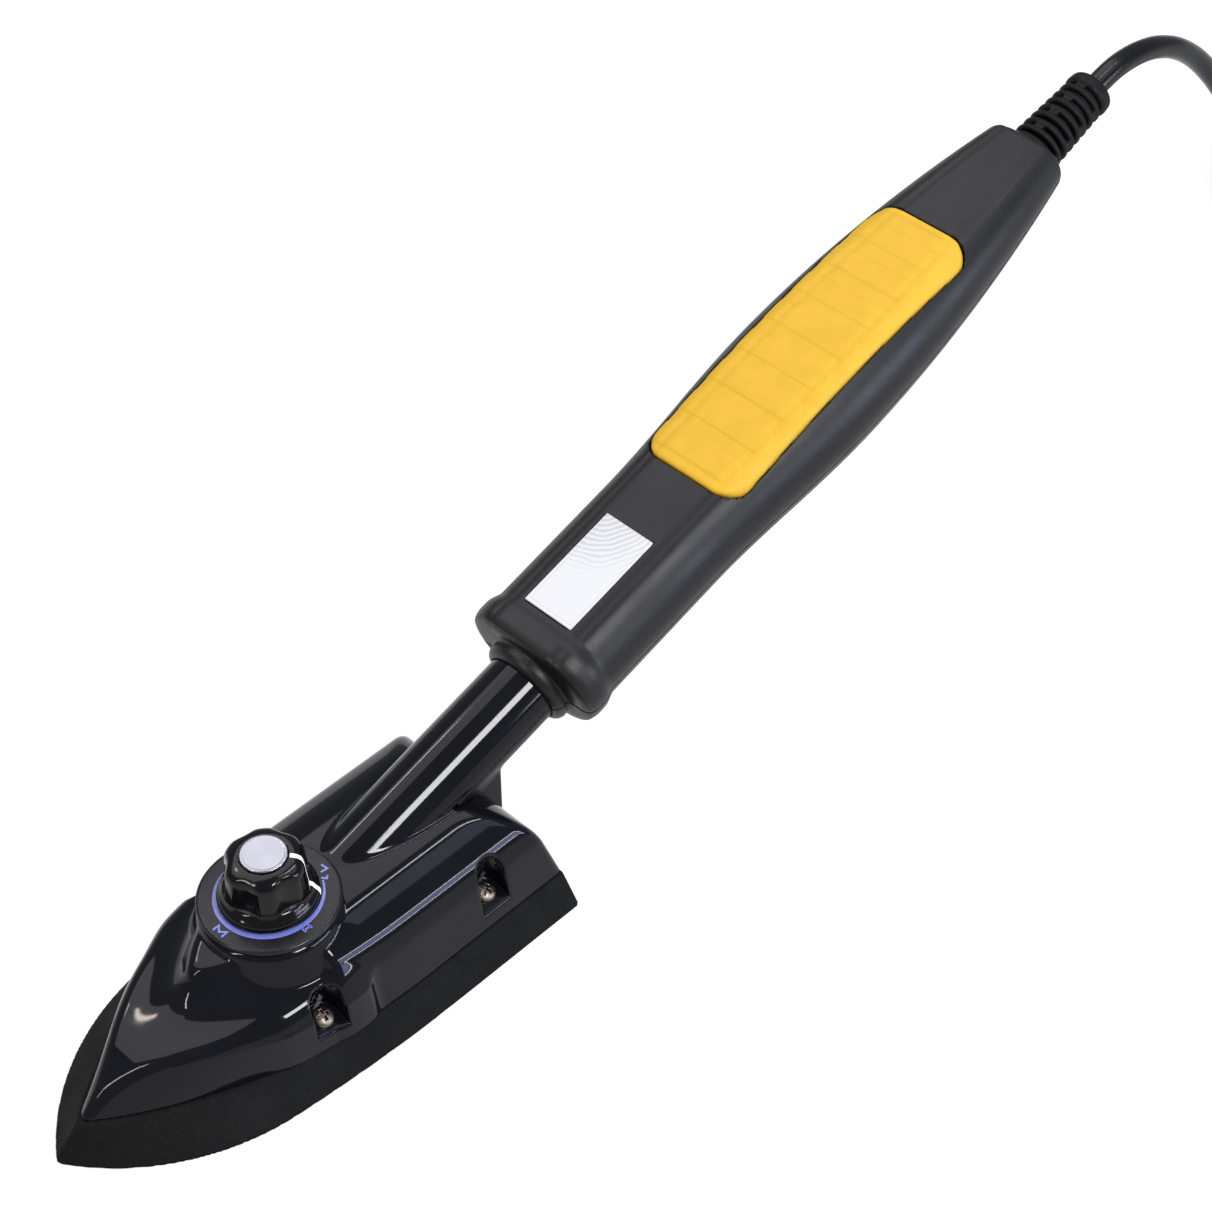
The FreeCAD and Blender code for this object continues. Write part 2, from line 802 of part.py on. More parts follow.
def stack_rivet():
    shank = rod(rivet_radius, stack_x, 0, sole_height + 0.1, bridge_top_z)
    head = Part.makeCone(rivet_radius + 1.2, rivet_radius + 0.4, rivet_head, Vector(stack_x, 0, bridge_top_z))
    return shank.fuse(head).removeSplitter()


def adjust_pin():
    """Ceramic pin with a narrow tip, between the spindle and the spring arm."""
    low = arm_top_z + follower_rest_gap
    tip = Part.makeCone(follower_tip_radius, follower_radius, follower_tip_length, Vector(0, 0, low))
    shank = rod(follower_radius, 0, 0, low + follower_tip_length, spindle_base_z + follower_grip - 0.4)
    return tip.fuse(shank).removeSplitter()


def thermal_fuse():
    return rod_x(fuse_radius, fuse_x, fuse_x + fuse_length, element_leg_y, fuse_z)


def rounded_edges(points):
    """Straight runs joined by tangent arcs, as large as the runs beside each point allow."""
    edges = []
    radii = []
    last = points[0]
    for before, at, after in zip(points, points[1:], points[2:]):
        run_in = at - before
        run_out = after - at
        turn = run_in.getAngle(run_out)
        setback = 0.45 * min(run_in.Length, run_out.Length)
        radius = setback / math.tan(turn / 2)
        enter = at - Vector(run_in).normalize() * setback
        leave = at + Vector(run_out).normalize() * setback
        centre_way = (Vector(run_out).normalize() - Vector(run_in).normalize()).normalize()
        centre = at + centre_way * math.hypot(radius, setback)
        middle = centre - centre_way * radius
        edges.append(line(last, enter))
        edges.append(arc(enter, middle, leave))
        radii.append(radius)
        last = leave
    edges.append(line(last, points[-1]))
    return edges, radii


def swept(edges, radius):
    """Round bar along a chain of edges."""
    path = Part.Wire(edges)
    start = edges[0].valueAt(edges[0].FirstParameter)
    way = edges[0].tangentAt(edges[0].FirstParameter)
    section = Part.Wire([Part.makeCircle(radius, start, way)])
    pipe = Part.BRepOffsetAPI.MakePipeShell(path)
    pipe.add(section)
    pipe.build()
    pipe.makeSolid()
    return pipe.shape()


def wire_run(points, radius):
    return swept(rounded_edges(points)[0], radius)


def live_wire():
    return wire_run([
        pole_point(block_s, wire_spread, -1.0),
        pole_point(-42.0, wire_spread, -1.0),
        Vector(tab_x + 5.0, wire_spread * 0.6, arm_z + 2.2),
        Vector(tab_x, 0, arm_z + leaf_thickness / 2)], wire_radius)


def neutral_wire():
    return wire_run([
        pole_point(block_s, -wire_spread, -1.0),
        pole_point(-38.0, -wire_spread, -1.0),
        Vector(pin_end_x - 5.5, -element_leg_y * 0.8, pin_z + 7.0),
        Vector(pin_end_x - 1.5, -element_leg_y, pin_z + pin_radius)], wire_radius)


def fuse_links():
    """Two short wires: spring leaf to fuse, and fuse to the heater's other pin."""
    front = Vector(fuse_x, element_leg_y, fuse_z)
    rear = Vector(fuse_x + fuse_length, element_leg_y, fuse_z)
    lead = Vector(fuse_lead, 0, 0)
    first = wire_run([
        Vector(tab_x - 0.5, leaf_width / 2 - 1.0, leaf_z + leaf_thickness / 2),
        Vector(tab_x + 0.6, element_leg_y * 0.6, (leaf_z + fuse_z) / 2),
        front - lead,
        front], link_radius)
    second = wire_run([
        rear,
        rear + lead * 2,
        Vector(pin_end_x - 1.5, element_leg_y, pin_z + pin_radius)], link_radius)
    return Part.makeCompound([first, second])


def handle_sizes(s):
    """Half width, top, depth and facet half width of the handle at a place along it."""
    if s <= grip_s:
        share = (1 - math.cos(math.pi * max(s - waist_s, 0) / (grip_s - waist_s))) / 2
        low = (front_half_width, front_top, front_depth, facet_half_width)
        high = (grip_half_width, grip_top, grip_depth, facet_half_width)
    else:
        share = ((s - grip_s) / (handle_length - grip_s)) ** tail_power
        low = (grip_half_width, grip_top, grip_depth, facet_half_width)
        high = (tail_half_width, tail_top, tail_depth, tail_facet_half_width)
    return [a + (b - a) * share for a, b in zip(low, high)]


def upper_section(s, grow):
    width, top, depth, facet = handle_sizes(s)
    width += grow
    top += grow
    side = Vector(s, width, 0)
    edge = Vector(s, facet, top)
    knee = Vector(s, facet + (width - facet) * upper_knee_out, top * upper_knee_up)

    def flip(p):
        return Vector(p.x, -p.y, p.z)

    return Part.Wire([
        arc(side, knee, edge),
        line(edge, flip(edge)),
        arc(flip(edge), flip(knee), flip(side)),
        line(flip(side), side)])


def lower_section(s, grow):
    width, top, depth, facet = handle_sizes(s)
    width += grow
    depth += grow
    side = Vector(s, width, 0)
    keel = Vector(s, 0, -depth)
    knee = Vector(s, width * lower_knee_out, -depth * lower_knee_down)

    def flip(p):
        return Vector(p.x, -p.y, p.z)

    return Part.Wire([
        arc(side, knee, keel),
        arc(keel, flip(knee), flip(side)),
        line(flip(side), side)])


def handle_stations(start, end):
    front = [waist_s + (grip_s - waist_s) * i / waist_steps for i in range(waist_steps)]
    rear = [grip_s + (handle_length - grip_s) * i / tail_steps for i in range(tail_steps)]
    return [start] + [s for s in front + rear if start + station_gap < s < end - station_gap] + [end]


def handle_half(section, grow, start, end):
    return Part.makeLoft([section(s, grow) for s in handle_stations(start, end)], True, False)


def flange(section):
    """Soft edged flange round the handle's front."""
    steps = [(flange_start, -1.0), (flange_start + 1.2, flange_grow * 0.7),
             (flange_start + flange_width - 1.2, flange_grow), (flange_start + flange_width, -0.4)]
    loops = []
    for s, grow in steps:
        wire = section(0, grow)
        wire.translate(Vector(s, 0, 0))
        loops.append(wire)
    return Part.makeLoft(loops, True, True)


def collar_ring():
    """Small round ring between the flange and the neck."""
    radius = collar_ring_radius
    ring = tube_along_pole(radius - 1.0, collar_start, flange_start + 1)
    crown = Part.makeTorus(radius - collar_ring_width / 2, collar_ring_width / 2,
                           Vector(collar_start + collar_ring_width / 2, 0, 0), Vector(1, 0, 0))
    return ring.fuse(crown)


def neck_socket():
    """Room for the neck's tail and its locking rib."""
    bore = tube_along_pole(neck_radius + neck_fit, collar_start - 1, nose_block + 1)
    groove = tube_along_pole(neck_rib_radius + neck_fit, neck_rib_start - neck_fit,
                             neck_rib_start + neck_rib_width + neck_fit)
    return bore.fuse(groove)


def relief_socket():
    bore = tube_along_pole(relief_neck_radius + 0.1, relief_root - 1, far)
    collar_end = relief_root + relief_collar_width + 0.1
    collar = tube_along_pole(relief_collar_radius + 0.1, relief_root - 0.1, collar_end)
    wire_way = tube_along_pole(wire_way_radius, handle_length - tail_block - 1, relief_root)
    return bore.fuse([collar, wire_way])


def screw_spots():
    spots = ((handle_screw_front_s, handle_screw_front_y), (handle_screw_rear_s, handle_screw_rear_y))
    return [(s, side * y) for s, y in spots for side in (-1, 1)]


def clamp_spots():
    return [(clamp_s + clamp_length / 2, side * clamp_screw_y) for side in (-1, 1)]


def pad_prism(gap):
    """Plan of the grip pad with rounded corners, as a tall prism."""
    blank = box(pad_start - gap, pad_end + gap, -pad_half_width - gap, pad_half_width + gap, 2, far)
    uprights = [e for e in blank.Edges if abs(e.Vertexes[0].Z - e.Vertexes[1].Z) > far / 2]
    return blank.makeFillet(pad_corner + gap, uprights)


def handle_shell(section):
    """One half of the handle before its own details: hollow, with solid ends."""
    outer = handle_half(section, 0, flange_start + 1.0, handle_length)
    inner = handle_half(section, -handle_wall, nose_block, handle_length - tail_block)
    return outer.cut(inner)


def handle_upper():
    shell = handle_shell(upper_section)
    shell = shell.fuse([flange(upper_section), collar_ring().common(upper_half())])
    # The pad's bed needs wall behind it
    bed = handle_half(upper_section, -pad_thickness + pad_proud - pad_gap, pad_start - 8, pad_end + 8)
    backing = bed.cut(handle_half(upper_section, -pad_thickness - handle_wall, pad_start - 8, pad_end + 8))
    shell = shell.fuse(backing)
    shell = shell.cut(pad_prism(pad_gap).cut(bed))
    plate_low = front_top + plate_proud - plate_thickness
    shell = shell.cut(box(plate_start - 0.1, plate_start + plate_length + 0.1,
                          -plate_half_width - 0.1, plate_half_width + 0.1, plate_low, far))
    for s, y in screw_spots():
        post = Part.makeCylinder(handle_post_radius, far, Vector(s, y, 0))
        post = post.common(handle_half(upper_section, -handle_wall / 2, flange_start + 1, handle_length))
        shell = shell.fuse(post)
        shell = shell.cut(Part.makeCylinder(screw_radius, handle_screw_reach + 0.5, Vector(s, y, 0)))
    shell = shell.cut(neck_socket())
    shell = shell.cut(relief_socket())
    return on_pole(shell)


def handle_lower():
    shell = handle_shell(lower_section)
    shell = shell.fuse([flange(lower_section), collar_ring().common(lower_half())])
    for s, y in screw_spots():
        post = Part.makeCylinder(handle_post_radius + 1.0, far, Vector(s, y, -far))
        post = post.common(handle_half(lower_section, 0, flange_start + 1, handle_length))
        shell = shell.fuse(post)
        seat_room = far - handle_screw_seat
        shell = shell.cut(Part.makeCylinder(screw_head_radius + 0.3, seat_room, Vector(s, y, -far)))
        shell = shell.cut(Part.makeCylinder(screw_radius + screw_clearance, far, Vector(s, y, -far)))
    # Ribs under the terminal block and posts under the cable clamp
    outer = handle_half(lower_section, -handle_wall / 2, flange_start + 1, handle_length)
    margin = block_length / 8
    for side in (-1, 1):
        y = side * block_width / 4
        rib = box(block_s + margin, block_s + block_length - margin, y - 1, y + 1, -far, block_floor)
        shell = shell.fuse(rib.common(outer))
    for s, y in clamp_spots():
        post = Part.makeCylinder(clamp_post_radius, far, Vector(s, y, -far)).common(outer)
        post = post.fuse(Part.makeCylinder(clamp_post_radius, clamp_low, Vector(s, y, 0)))
        shell = shell.fuse(post)
        shell = shell.cut(Part.makeCylinder(screw_radius, far, Vector(s, y, -handle_screw_reach)))
    shell = shell.cut(neck_socket())
    shell = shell.cut(relief_socket())
    return on_pole(shell)


def handle_screws():
    screws = []
    for s, y in screw_spots():
        screw = pan_screw(0, 0, 0, -handle_screw_seat - handle_screw_reach, shank_radius)
        screw.rotate(Vector(0, 0, 0), Vector(1, 0, 0), 180)
        screw.translate(Vector(s, y, -handle_screw_seat))
        screws.append(on_pole(screw))
    return Part.makeCompound(screws)


def grip_pad():
    outer = handle_half(upper_section, pad_proud, pad_start - 8, pad_end + 8)
    bed = handle_half(upper_section, -pad_thickness + pad_proud, pad_start - 8, pad_end + 8)
    return on_pole(outer.cut(bed).common(pad_prism(0)))


def name_plate():
    low = front_top + plate_proud - plate_thickness + 0.05
    return on_pole(box(plate_start, plate_start + plate_length, -plate_half_width, plate_half_width,
                       low, low + plate_thickness))


def terminal_spots():
    return [(s, side * core_y) for side in (-1, 1) for s in (block_s + 4.0, block_s + block_length - 4.0)]


def terminal_block():
    body = box(block_s, block_s + block_length, -block_width / 2, block_width / 2, block_floor,
               block_floor + block_height)
    for side in (-1, 1):
        body = body.cut(rod_x(wire_radius + 0.7, block_s + 1.0, far, side * core_y, core_z))
    for s, y in terminal_spots():
        body = body.cut(Part.makeCylinder(block_screw_radius + 0.1, far, Vector(s, y, core_z)))
    return on_pole(body.removeSplitter())


def terminal_screws():
    top = block_floor + block_height - 0.6
    screws = []
    for s, y in terminal_spots():
        screw = Part.makeCylinder(block_screw_radius, 3.0, Vector(s, y, top - 3.0))
        screws.append(on_pole(screw.cut(box(s - 3, s + 3, y - 0.3, y + 0.3, top - slot_depth, far))))
    return Part.makeCompound(screws)


def core_wires():
    """Stripped cores of the cord between the sleeve and the terminal block."""
    cores = []
    for side in (-1, 1):
        cores.append(on_pole(wire_run([
            Vector(relief_root, side * core_spread, 0),
            Vector(relief_root - 8.0, side * core_spread, 0),
            Vector(block_s + block_length + 5.0, side * core_y, core_z),
            Vector(block_s + block_length - 0.5, side * core_y, core_z)], wire_radius)))
    return Part.makeCompound(cores)


def cable_clamp():
    """Saddle over the two cores, screwed down into the lower half."""
    half = clamp_width / 2
    body = box(clamp_s, clamp_s + clamp_length, -half, half, clamp_low, clamp_low + clamp_height)
    for s, y in clamp_spots():
        body = body.cut(Part.makeCylinder(screw_radius + screw_clearance, far, Vector(s, y, 0)))
    return on_pole(body)


def clamp_screws():
    screws = [pan_screw(s, y, clamp_low + clamp_height, 0.5 - handle_screw_reach, shank_radius)
              for s, y in clamp_spots()]
    return Part.makeCompound([on_pole(screw) for screw in screws])


def strain_relief():
    """Ribbed sleeve: a core with rings bridged by staggered tabs, and a thick end ring."""
    start = handle_length + 0.2
    core = tube_along_pole(relief_core, relief_root, relief_end)
    root = tube_along_pole(relief_neck_radius, relief_root, start)
    collar = tube_along_pole(relief_collar_radius, relief_root, relief_root + relief_collar_width)
    tip_s = relief_end - relief_tip_length
    tip = Part.makeCone(relief_tip_radius + 0.2, relief_tip_radius, relief_tip_length, Vector(tip_s, 0, 0),
                        Vector(1, 0, 0))
    solid = core.fuse([root, collar, tip])
    pitch = (tip_s - start) / relief_rings
    for i in range(relief_rings):
        share = i / relief_rings
        radius = relief_radius + (relief_tip_radius - relief_radius) * share
        s = start + i * pitch
        ring = tube_along_pole(radius, s, s + pitch * relief_ring_share)
        tab_end = s + pitch
        tabs = box(s, tab_end, -relief_tab_width / 2, relief_tab_width / 2, -radius + 0.5, radius - 0.5)
        if i % 2:
            tabs.rotate(Vector(s, 0, 0), Vector(1, 0, 0), 90)
        solid = solid.fuse([ring, tabs])
    solid = solid.removeSplitter()
    return on_pole(solid.cut(tube_along_pole(cord_radius + cord_bore_gap, relief_root - 1, far)))


def on_floor(shape):
    """Turn a shape drawn round the origin so that the coil lies lengthwise behind the iron."""
    placed = shape.copy()
    placed.rotate(Vector(0, 0, 0), Vector(0, 0, 1), 90)
    placed.translate(Vector(coil_centre_x, coil_centre_y, 0))
    return placed


def coil_start():
    return Vector(coil_centre_x - coil_straight / 2, coil_centre_y - coil_outer_radius, coil_top_z)


def cord_root():
    """Stretch of the cord that the sleeve holds."""
    return on_pole(tube_along_pole(cord_radius, relief_root, relief_end))


def cord_route():
    """Free stretch of the cord, by hand: out of the sleeve, over and down to the top of its coil."""
    mouth = pole_point(relief_end, 0, 0)
    landing = coil_start()
    return [
        mouth,
        mouth + pole_direction * 5.4,
        mouth + Vector(10.6, -0.1, 2.4),
        mouth + Vector(16.9, -0.3, 2.15),
        mouth + Vector(23.9, -0.6, 0.5),
        mouth + Vector(31.9, -1.2, -3.3),
        mouth + Vector(40.3, -2.2, -10.0),
        mouth + Vector(48.9, -4.2, -20.4),
        mouth + Vector(57.0, -7.6, -34.0),
        mouth + Vector(65.4, -13.0, -48.0),
        mouth + Vector(75.6, -20.2, -60.6),
        mouth + Vector(88.6, -27.4, -70.0),
        landing - Vector(18.0, 0, 0),
        landing - Vector(cord_radius * 2, 0, 0)]


def check_route(points, edges, radii):
    lengths = [(b - a).Length for a, b in zip(points, points[1:])]
    turns = [math.degrees((b - a).getAngle(c - b)) for a, b, c in zip(points, points[1:], points[2:])]
    print("cord runs", [round(v, 1) for v in lengths])
    print("cord turns", [round(v, 1) for v in turns])
    print("cord radii", [round(v, 1) for v in radii])
    return Part.Wire(edges).Length


def free_cord():
    points = cord_route()
    edges, radii = rounded_edges(points)
    length = check_route(points, edges, radii)
    solid = swept(edges, cord_radius)
    ideal = math.pi * cord_radius ** 2 * length
    print("cord length", round(length, 1), "volume over section times length", round(solid.Volume / ideal, 4))
    return solid, length


def half_turn(centre, radius, sign, z, drop):
    """Half circle at one end of the coil, or two tangent arcs where it goes down a layer."""
    v = sign * coil_straight / 2
    start = Vector(centre + sign * radius, v, z)
    end = Vector(centre - sign * radius, v, z - drop)
    if not drop:
        return [arc(start, Vector(centre, v + sign * radius, z), end)], end
    way = Vector(0, sign, 0)
    reach = (end - start).Length / 2
    corner_in = start + way * reach
    corner_out = end + way * reach
    middle = (corner_in + corner_out) * 0.5
    edges = []
    for a, corner, b in ((start, corner_in, middle), (middle, corner_out, end)):
        leg_in = corner - a
        leg_out = b - corner
        turn = leg_in.getAngle(leg_out)
        arc_radius = leg_in.Length / math.tan(turn / 2)
        toward = (Vector(leg_out).normalize() - Vector(leg_in).normalize()).normalize()
        centre_point = corner + toward * math.hypot(arc_radius, leg_in.Length)
        edges.append(arc(a, centre_point - toward * arc_radius, b))
    return edges, end


def coil_turns():
    """Centre, radius, height and drop of each half turn: inwards, down a layer, outwards, and again."""
    half_step = coil_pitch / 2
    inner = coil_outer_radius - coil_turn_halves * half_step
    z = coil_top_z
    turns = []
    for pair in range(coil_layer_pairs):
        for i in range(coil_turn_halves):
            turns.append((half_step * (i % 2), coil_outer_radius - i * half_step, z, 0))
        turns.append((half_step * (coil_turn_halves % 2), inner, z, coil_layer_pitch))
        z -= coil_layer_pitch
        for i in range(1, coil_turn_halves + 1):
            turns.append((half_step * (1 + i % 2), inner + i * half_step, z, 0))
        turns.append((half_step, coil_outer_radius + half_step, z, coil_layer_pitch))
        z -= coil_layer_pitch
    return turns[:-2]


def coil_edges():
    """Long coil in layers from the top down, and its end, which runs out below to the plug."""
    half = coil_straight / 2
    spot = Vector(-coil_outer_radius, half, coil_top_z)
    edges = [line(spot + Vector(0, cord_radius * 2, 0), spot)]
    sign = -1
    for centre, radius, z, drop in coil_turns():
        edges.append(line(spot, Vector(centre + sign * radius, sign * half, z)))
        turn, spot = half_turn(centre, radius, sign, z, drop)
        edges += turn
        sign = -sign
    level = Vector(spot.x, -half - lead_under, spot.z)
    bend = level - Vector(0, lead_level, 0)
    rest = bend + Vector(lead_shift, -lead_slope, lead_rise)
    out = rest - Vector(0, lead_end, 0)
    lead, radii = rounded_edges([level, bend, rest, out])
    print("lead radii", [round(v, 1) for v in radii])
    return edges + [line(spot, level)] + lead, out


def least_gap(edges):
    """Least distance between stretches of the coil that lie further apart along it than a turn's share."""
    points = []
    run = 0.0
    for edge in edges:
        count = max(3, int(edge.Length / 2.0))
        for i in range(count):
            t = edge.FirstParameter + (edge.LastParameter - edge.FirstParameter) * i / count
            points.append((run + edge.Length * i / count, edge.valueAt(t)))
        run += edge.Length
    least = min((p - q).Length for i, (a, p) in enumerate(points) for b, q in points[i + 1:] if b - a > 20)
    return least - 2 * cord_radius


def cord_coil():
    edges, out = coil_edges()
    length = Part.Wire(edges).Length
    solid = on_floor(swept(edges, cord_radius))
    ideal = math.pi * cord_radius ** 2 * length
    print("coil length", round(length, 1), "volume over section times length", round(solid.Volume / ideal, 4))
    print("coil least gap", round(least_gap(edges), 2))
    return solid, out, length


def cord_tie():
    """Strap round the waist of the coil."""
    grow = cord_radius + tie_gap
    u0 = -coil_outer_radius - grow
    u1 = coil_outer_radius + coil_pitch + grow
    z0 = coil_floor - tie_gap
    z1 = coil_top_z + grow
    x0 = coil_centre_x - tie_width / 2
    x1 = x0 + tie_width
    y0 = coil_centre_y + u0
    y1 = coil_centre_y + u1
    outer = box(x0, x1, y0 - tie_thickness, y1 + tie_thickness, z0 - tie_thickness, z1 + tie_thickness)
    inner = box(x0 - 1, x1 + 1, y0, y1, z0, z1)
    return rounded_along_x(outer, 2.4).cut(rounded_along_x(inner, 1.4))


def rounded_along_x(block, radius):
    along = [e for e in block.Edges if abs(e.Vertexes[0].X - e.Vertexes[1].X) > 1]
    return block.makeFillet(radius, along)


def plug_frame(shape, out):
    """Place a plug drawn along +X from the origin so that the cord enters its tail."""
    placed = shape.copy()
    placed.rotate(Vector(0, 0, 0), Vector(0, 0, 1), -90)
    placed.translate(out)
    return on_floor(placed)


def plug_body(out):
    neck = Part.makeCone(plug_neck_radius * 0.85, plug_neck_radius * 1.15, plug_neck_length, Vector(0, 0, 0),
                         Vector(1, 0, 0))
    low = -plug_height / 2
    half = plug_width / 2
    body = box(plug_neck_length, plug_neck_length + plug_length, -half, half, low, -low)
    along = [e for e in body.Edges if abs(e.Vertexes[0].X - e.Vertexes[1].X) > 1]
    body = body.makeFillet(plug_height * 0.3, along)
    solid = neck.fuse(body).removeSplitter()
    end = plug_neck_length + plug_length
    for side in (-1, 1):
        y = side * blade_spacing / 2
        solid = solid.cut(box(end - blade_root, end + 1, y - blade_thickness / 2, y + blade_thickness / 2,
                              -blade_width / 2, blade_width / 2))
    return plug_frame(solid, out)


def plug_blades(out):
    end = plug_neck_length + plug_length
    blades = []
    for side in (-1, 1):
        y = side * blade_spacing / 2
        blade = box(end - blade_root, end + blade_length, y - blade_thickness / 2, y + blade_thickness / 2,
                    -blade_width / 2, blade_width / 2)
        hole = Part.makeCylinder(1.6, 10, Vector(end + blade_length - 4.5, y - 5, 0), Vector(0, 1, 0))
        blades.append(plug_frame(blade.cut(hole), out))
    return Part.makeCompound(blades)


def main():
    os.makedirs("parts", exist_ok=True)
    keep("sole_plate", sole_plate())
    keep("heating_element", element_path(element_radius))
    keep("heater_beads", heater_beads())
    keep("heater_pins", heater_pins())
    keep("heat_shield", heat_shield())
    keep("head_cover", head_cover())
    keep("neck_base", neck_base())
    keep("cover_screws", cover_screws())
    keep("dial_plate", dial_plate())
    keep("knob_body", knob_body())
    keep("knob_cap", knob_cap())
    keep("knob_bush", knob_bush())
    keep("knob_clip", knob_clip())
    keep("thermostat_spindle", thermostat_spindle())
    keep("spindle_nut", spindle_nut())
    keep("thermostat_bridge", thermostat_bridge())
    keep("thermostat_base", thermostat_base())
    keep("thermostat_screws", thermostat_screws())
    keep("ceramic_washers", ceramic_washers())
    keep("stack_rivet", stack_rivet())
    keep("bimetal_strip", bimetal_strip())
    keep("fixed_leaf", fixed_leaf())
    keep("arm_root", arm_root())
    keep("contact_arm", contact_arm())
    keep("adjust_pin", adjust_pin())
    keep("thermal_fuse", thermal_fuse())
    keep("fuse_links", fuse_links())
    keep("live_wire", live_wire())
    keep("neutral_wire", neutral_wire())
    keep("handle_upper", handle_upper())
    keep("handle_lower", handle_lower())
    keep("handle_screws", handle_screws())
    keep("grip_pad", grip_pad())
    keep("name_plate", name_plate())
    keep("terminal_block", terminal_block())
    keep("terminal_screws", terminal_screws())
    keep("core_wires", core_wires())
    keep("cable_clamp", cable_clamp())
    keep("clamp_screws", clamp_screws())
    keep("strain_relief", strain_relief())
    keep("cord_root", cord_root())
    cord, free_length = free_cord()
    keep("cord", cord)
    coil, out, coil_length = cord_coil()
    keep("cord_coil", coil)
    keep("cord_tie", cord_tie())
    keep("plug_body", plug_body(out))
    keep("plug_blades", plug_blades(out))
    print("cord in all", round((free_length + coil_length) / 1000, 3), "m")
    for name, shape in pieces.items():
        if not shape.isValid() or not shape.Solids:
            print("look at", name, shape.isValid(), len(shape.Solids))
        shape.exportStep(os.path.join("parts", name + ".step"))
    print(len(pieces), "pieces")


main()
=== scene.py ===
import math

import bpy
import numpy as np
from bpy.props import FloatProperty, FloatVectorProperty, PointerProperty
from mathutils import Matrix, Vector


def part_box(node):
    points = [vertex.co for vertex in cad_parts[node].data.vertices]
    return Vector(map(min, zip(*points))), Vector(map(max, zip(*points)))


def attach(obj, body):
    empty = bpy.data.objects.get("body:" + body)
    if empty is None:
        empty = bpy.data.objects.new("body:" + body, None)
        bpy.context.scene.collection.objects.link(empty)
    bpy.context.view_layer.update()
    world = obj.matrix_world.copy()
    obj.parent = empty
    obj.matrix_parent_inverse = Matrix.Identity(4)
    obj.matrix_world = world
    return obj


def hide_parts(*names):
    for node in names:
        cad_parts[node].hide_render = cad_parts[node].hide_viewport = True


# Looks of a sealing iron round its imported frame.
# Lengths are millimetres while a shape is worked out, and metres once it is a mesh.

bl_info = {
    "name": "Sealing iron",
    "version": (1, 0, 0),
    "blender": (4, 5, 0),
    "location": "3D view > Sidebar > Sealing iron",
    "description": "Builds the skins, finishes, cord and studio of a sealing iron",
    "category": "Add Mesh",
}

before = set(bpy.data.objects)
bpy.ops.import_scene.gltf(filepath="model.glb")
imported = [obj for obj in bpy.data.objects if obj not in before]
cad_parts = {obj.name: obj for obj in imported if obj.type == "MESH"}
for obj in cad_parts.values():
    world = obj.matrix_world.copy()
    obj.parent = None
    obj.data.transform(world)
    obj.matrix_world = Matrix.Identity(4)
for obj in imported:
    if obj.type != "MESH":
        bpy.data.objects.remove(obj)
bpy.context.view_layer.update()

MM = 0.001


def node_box(name):
    """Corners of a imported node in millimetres."""
    low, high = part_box(name)
    return low / MM, high / MM


sole_low, sole_high = node_box("sole_plate")
dial_low, dial_high = node_box("dial_plate")
knob_low, knob_high = node_box("knob_body")
cap_low, cap_high = node_box("knob_cap")

sole_tip_x = sole_low.x
sole_rear_x = sole_high.x
sole_half_width = sole_high.y
parting_z = sole_high.z
dial_z = dial_high.z
dial_radius = dial_high.x
boss_top_z = dial_low.z

# Pole: the slanting axis of neck, handle and sleeve
pole_pitch = math.radians(17.8)
pole_origin = np.array([77.0, 0.0, 40.2])
pole_along = np.array([math.cos(pole_pitch), 0.0, math.sin(pole_pitch)])
pole_up = np.array([-math.sin(pole_pitch), 0.0, math.cos(pole_pitch)])
pole_side = np.array([0.0, 1.0, 0.0])
pole_axes = np.stack([pole_along, pole_side, pole_up])


class IronSizes(bpy.types.PropertyGroup):
    """Sizes of the iron's edges and details that a user may change."""

    nose_round: FloatProperty(
        name="Nose rounding", description="Rounding of the cover's shoulder at the nose",
        default=0.0016, min=0.0005, max=0.004, unit="LENGTH")
    shoulder_round: FloatProperty(
        name="Shoulder rounding", description="Rounding of the cover's shoulder beside the dial",
        default=0.0030, min=0.001, max=0.008, unit="LENGTH")
    crest_round: FloatProperty(
        name="Crest rounding", description="Rounding of the ridge behind the dial",
        default=0.0023, min=0.0005, max=0.004, unit="LENGTH")
    hump_fillet: FloatProperty(
        name="Hump fillet", description="Hollow fillet round the foot of the hump",
        default=0.0022, min=0.001, max=0.006, unit="LENGTH")
    grip_proud: FloatProperty(
        name="Pad height", description="How far the soft pad stands proud of the handle",
        default=0.0003, min=0.0, max=0.001, unit="LENGTH")
    tongue_step: FloatProperty(
        name="Tongue step", description="Height of the moulded tongues on the pad",
        default=0.00022, min=0.0, max=0.001, unit="LENGTH")
    cord_diameter: FloatProperty(
        name="Cord diameter", description="Diameter of the round mains cord",
        default=0.0054, min=0.003, max=0.008, unit="LENGTH")


class IronColours(bpy.types.PropertyGroup):
    """Main colours of the iron."""

    cover: FloatVectorProperty(
        name="Cover", description="Glossy head cover and neck", subtype="COLOR",
        default=(0.0028, 0.0028, 0.0042), min=0, max=1)
    sole: FloatVectorProperty(
        name="Sole", description="Coated sole", subtype="COLOR",
        default=(0.0036, 0.0036, 0.0036), min=0, max=1)
    handle: FloatVectorProperty(
        name="Handle", description="Fine grained handle halves", subtype="COLOR",
        default=(0.0058, 0.0056, 0.0056), min=0, max=1)
    pad: FloatVectorProperty(
        name="Pad", description="Soft grip pad", subtype="COLOR",
        default=(0.420, 0.248, 0.0105), min=0, max=1)
    marks: FloatVectorProperty(
        name="Dial marks", description="Printed ring and letters of the dial", subtype="COLOR",
        default=(0.105, 0.125, 0.380), min=0, max=1)


def sizes():
    """Sizes chosen for this scene."""
    return bpy.context.scene.iron_sizes


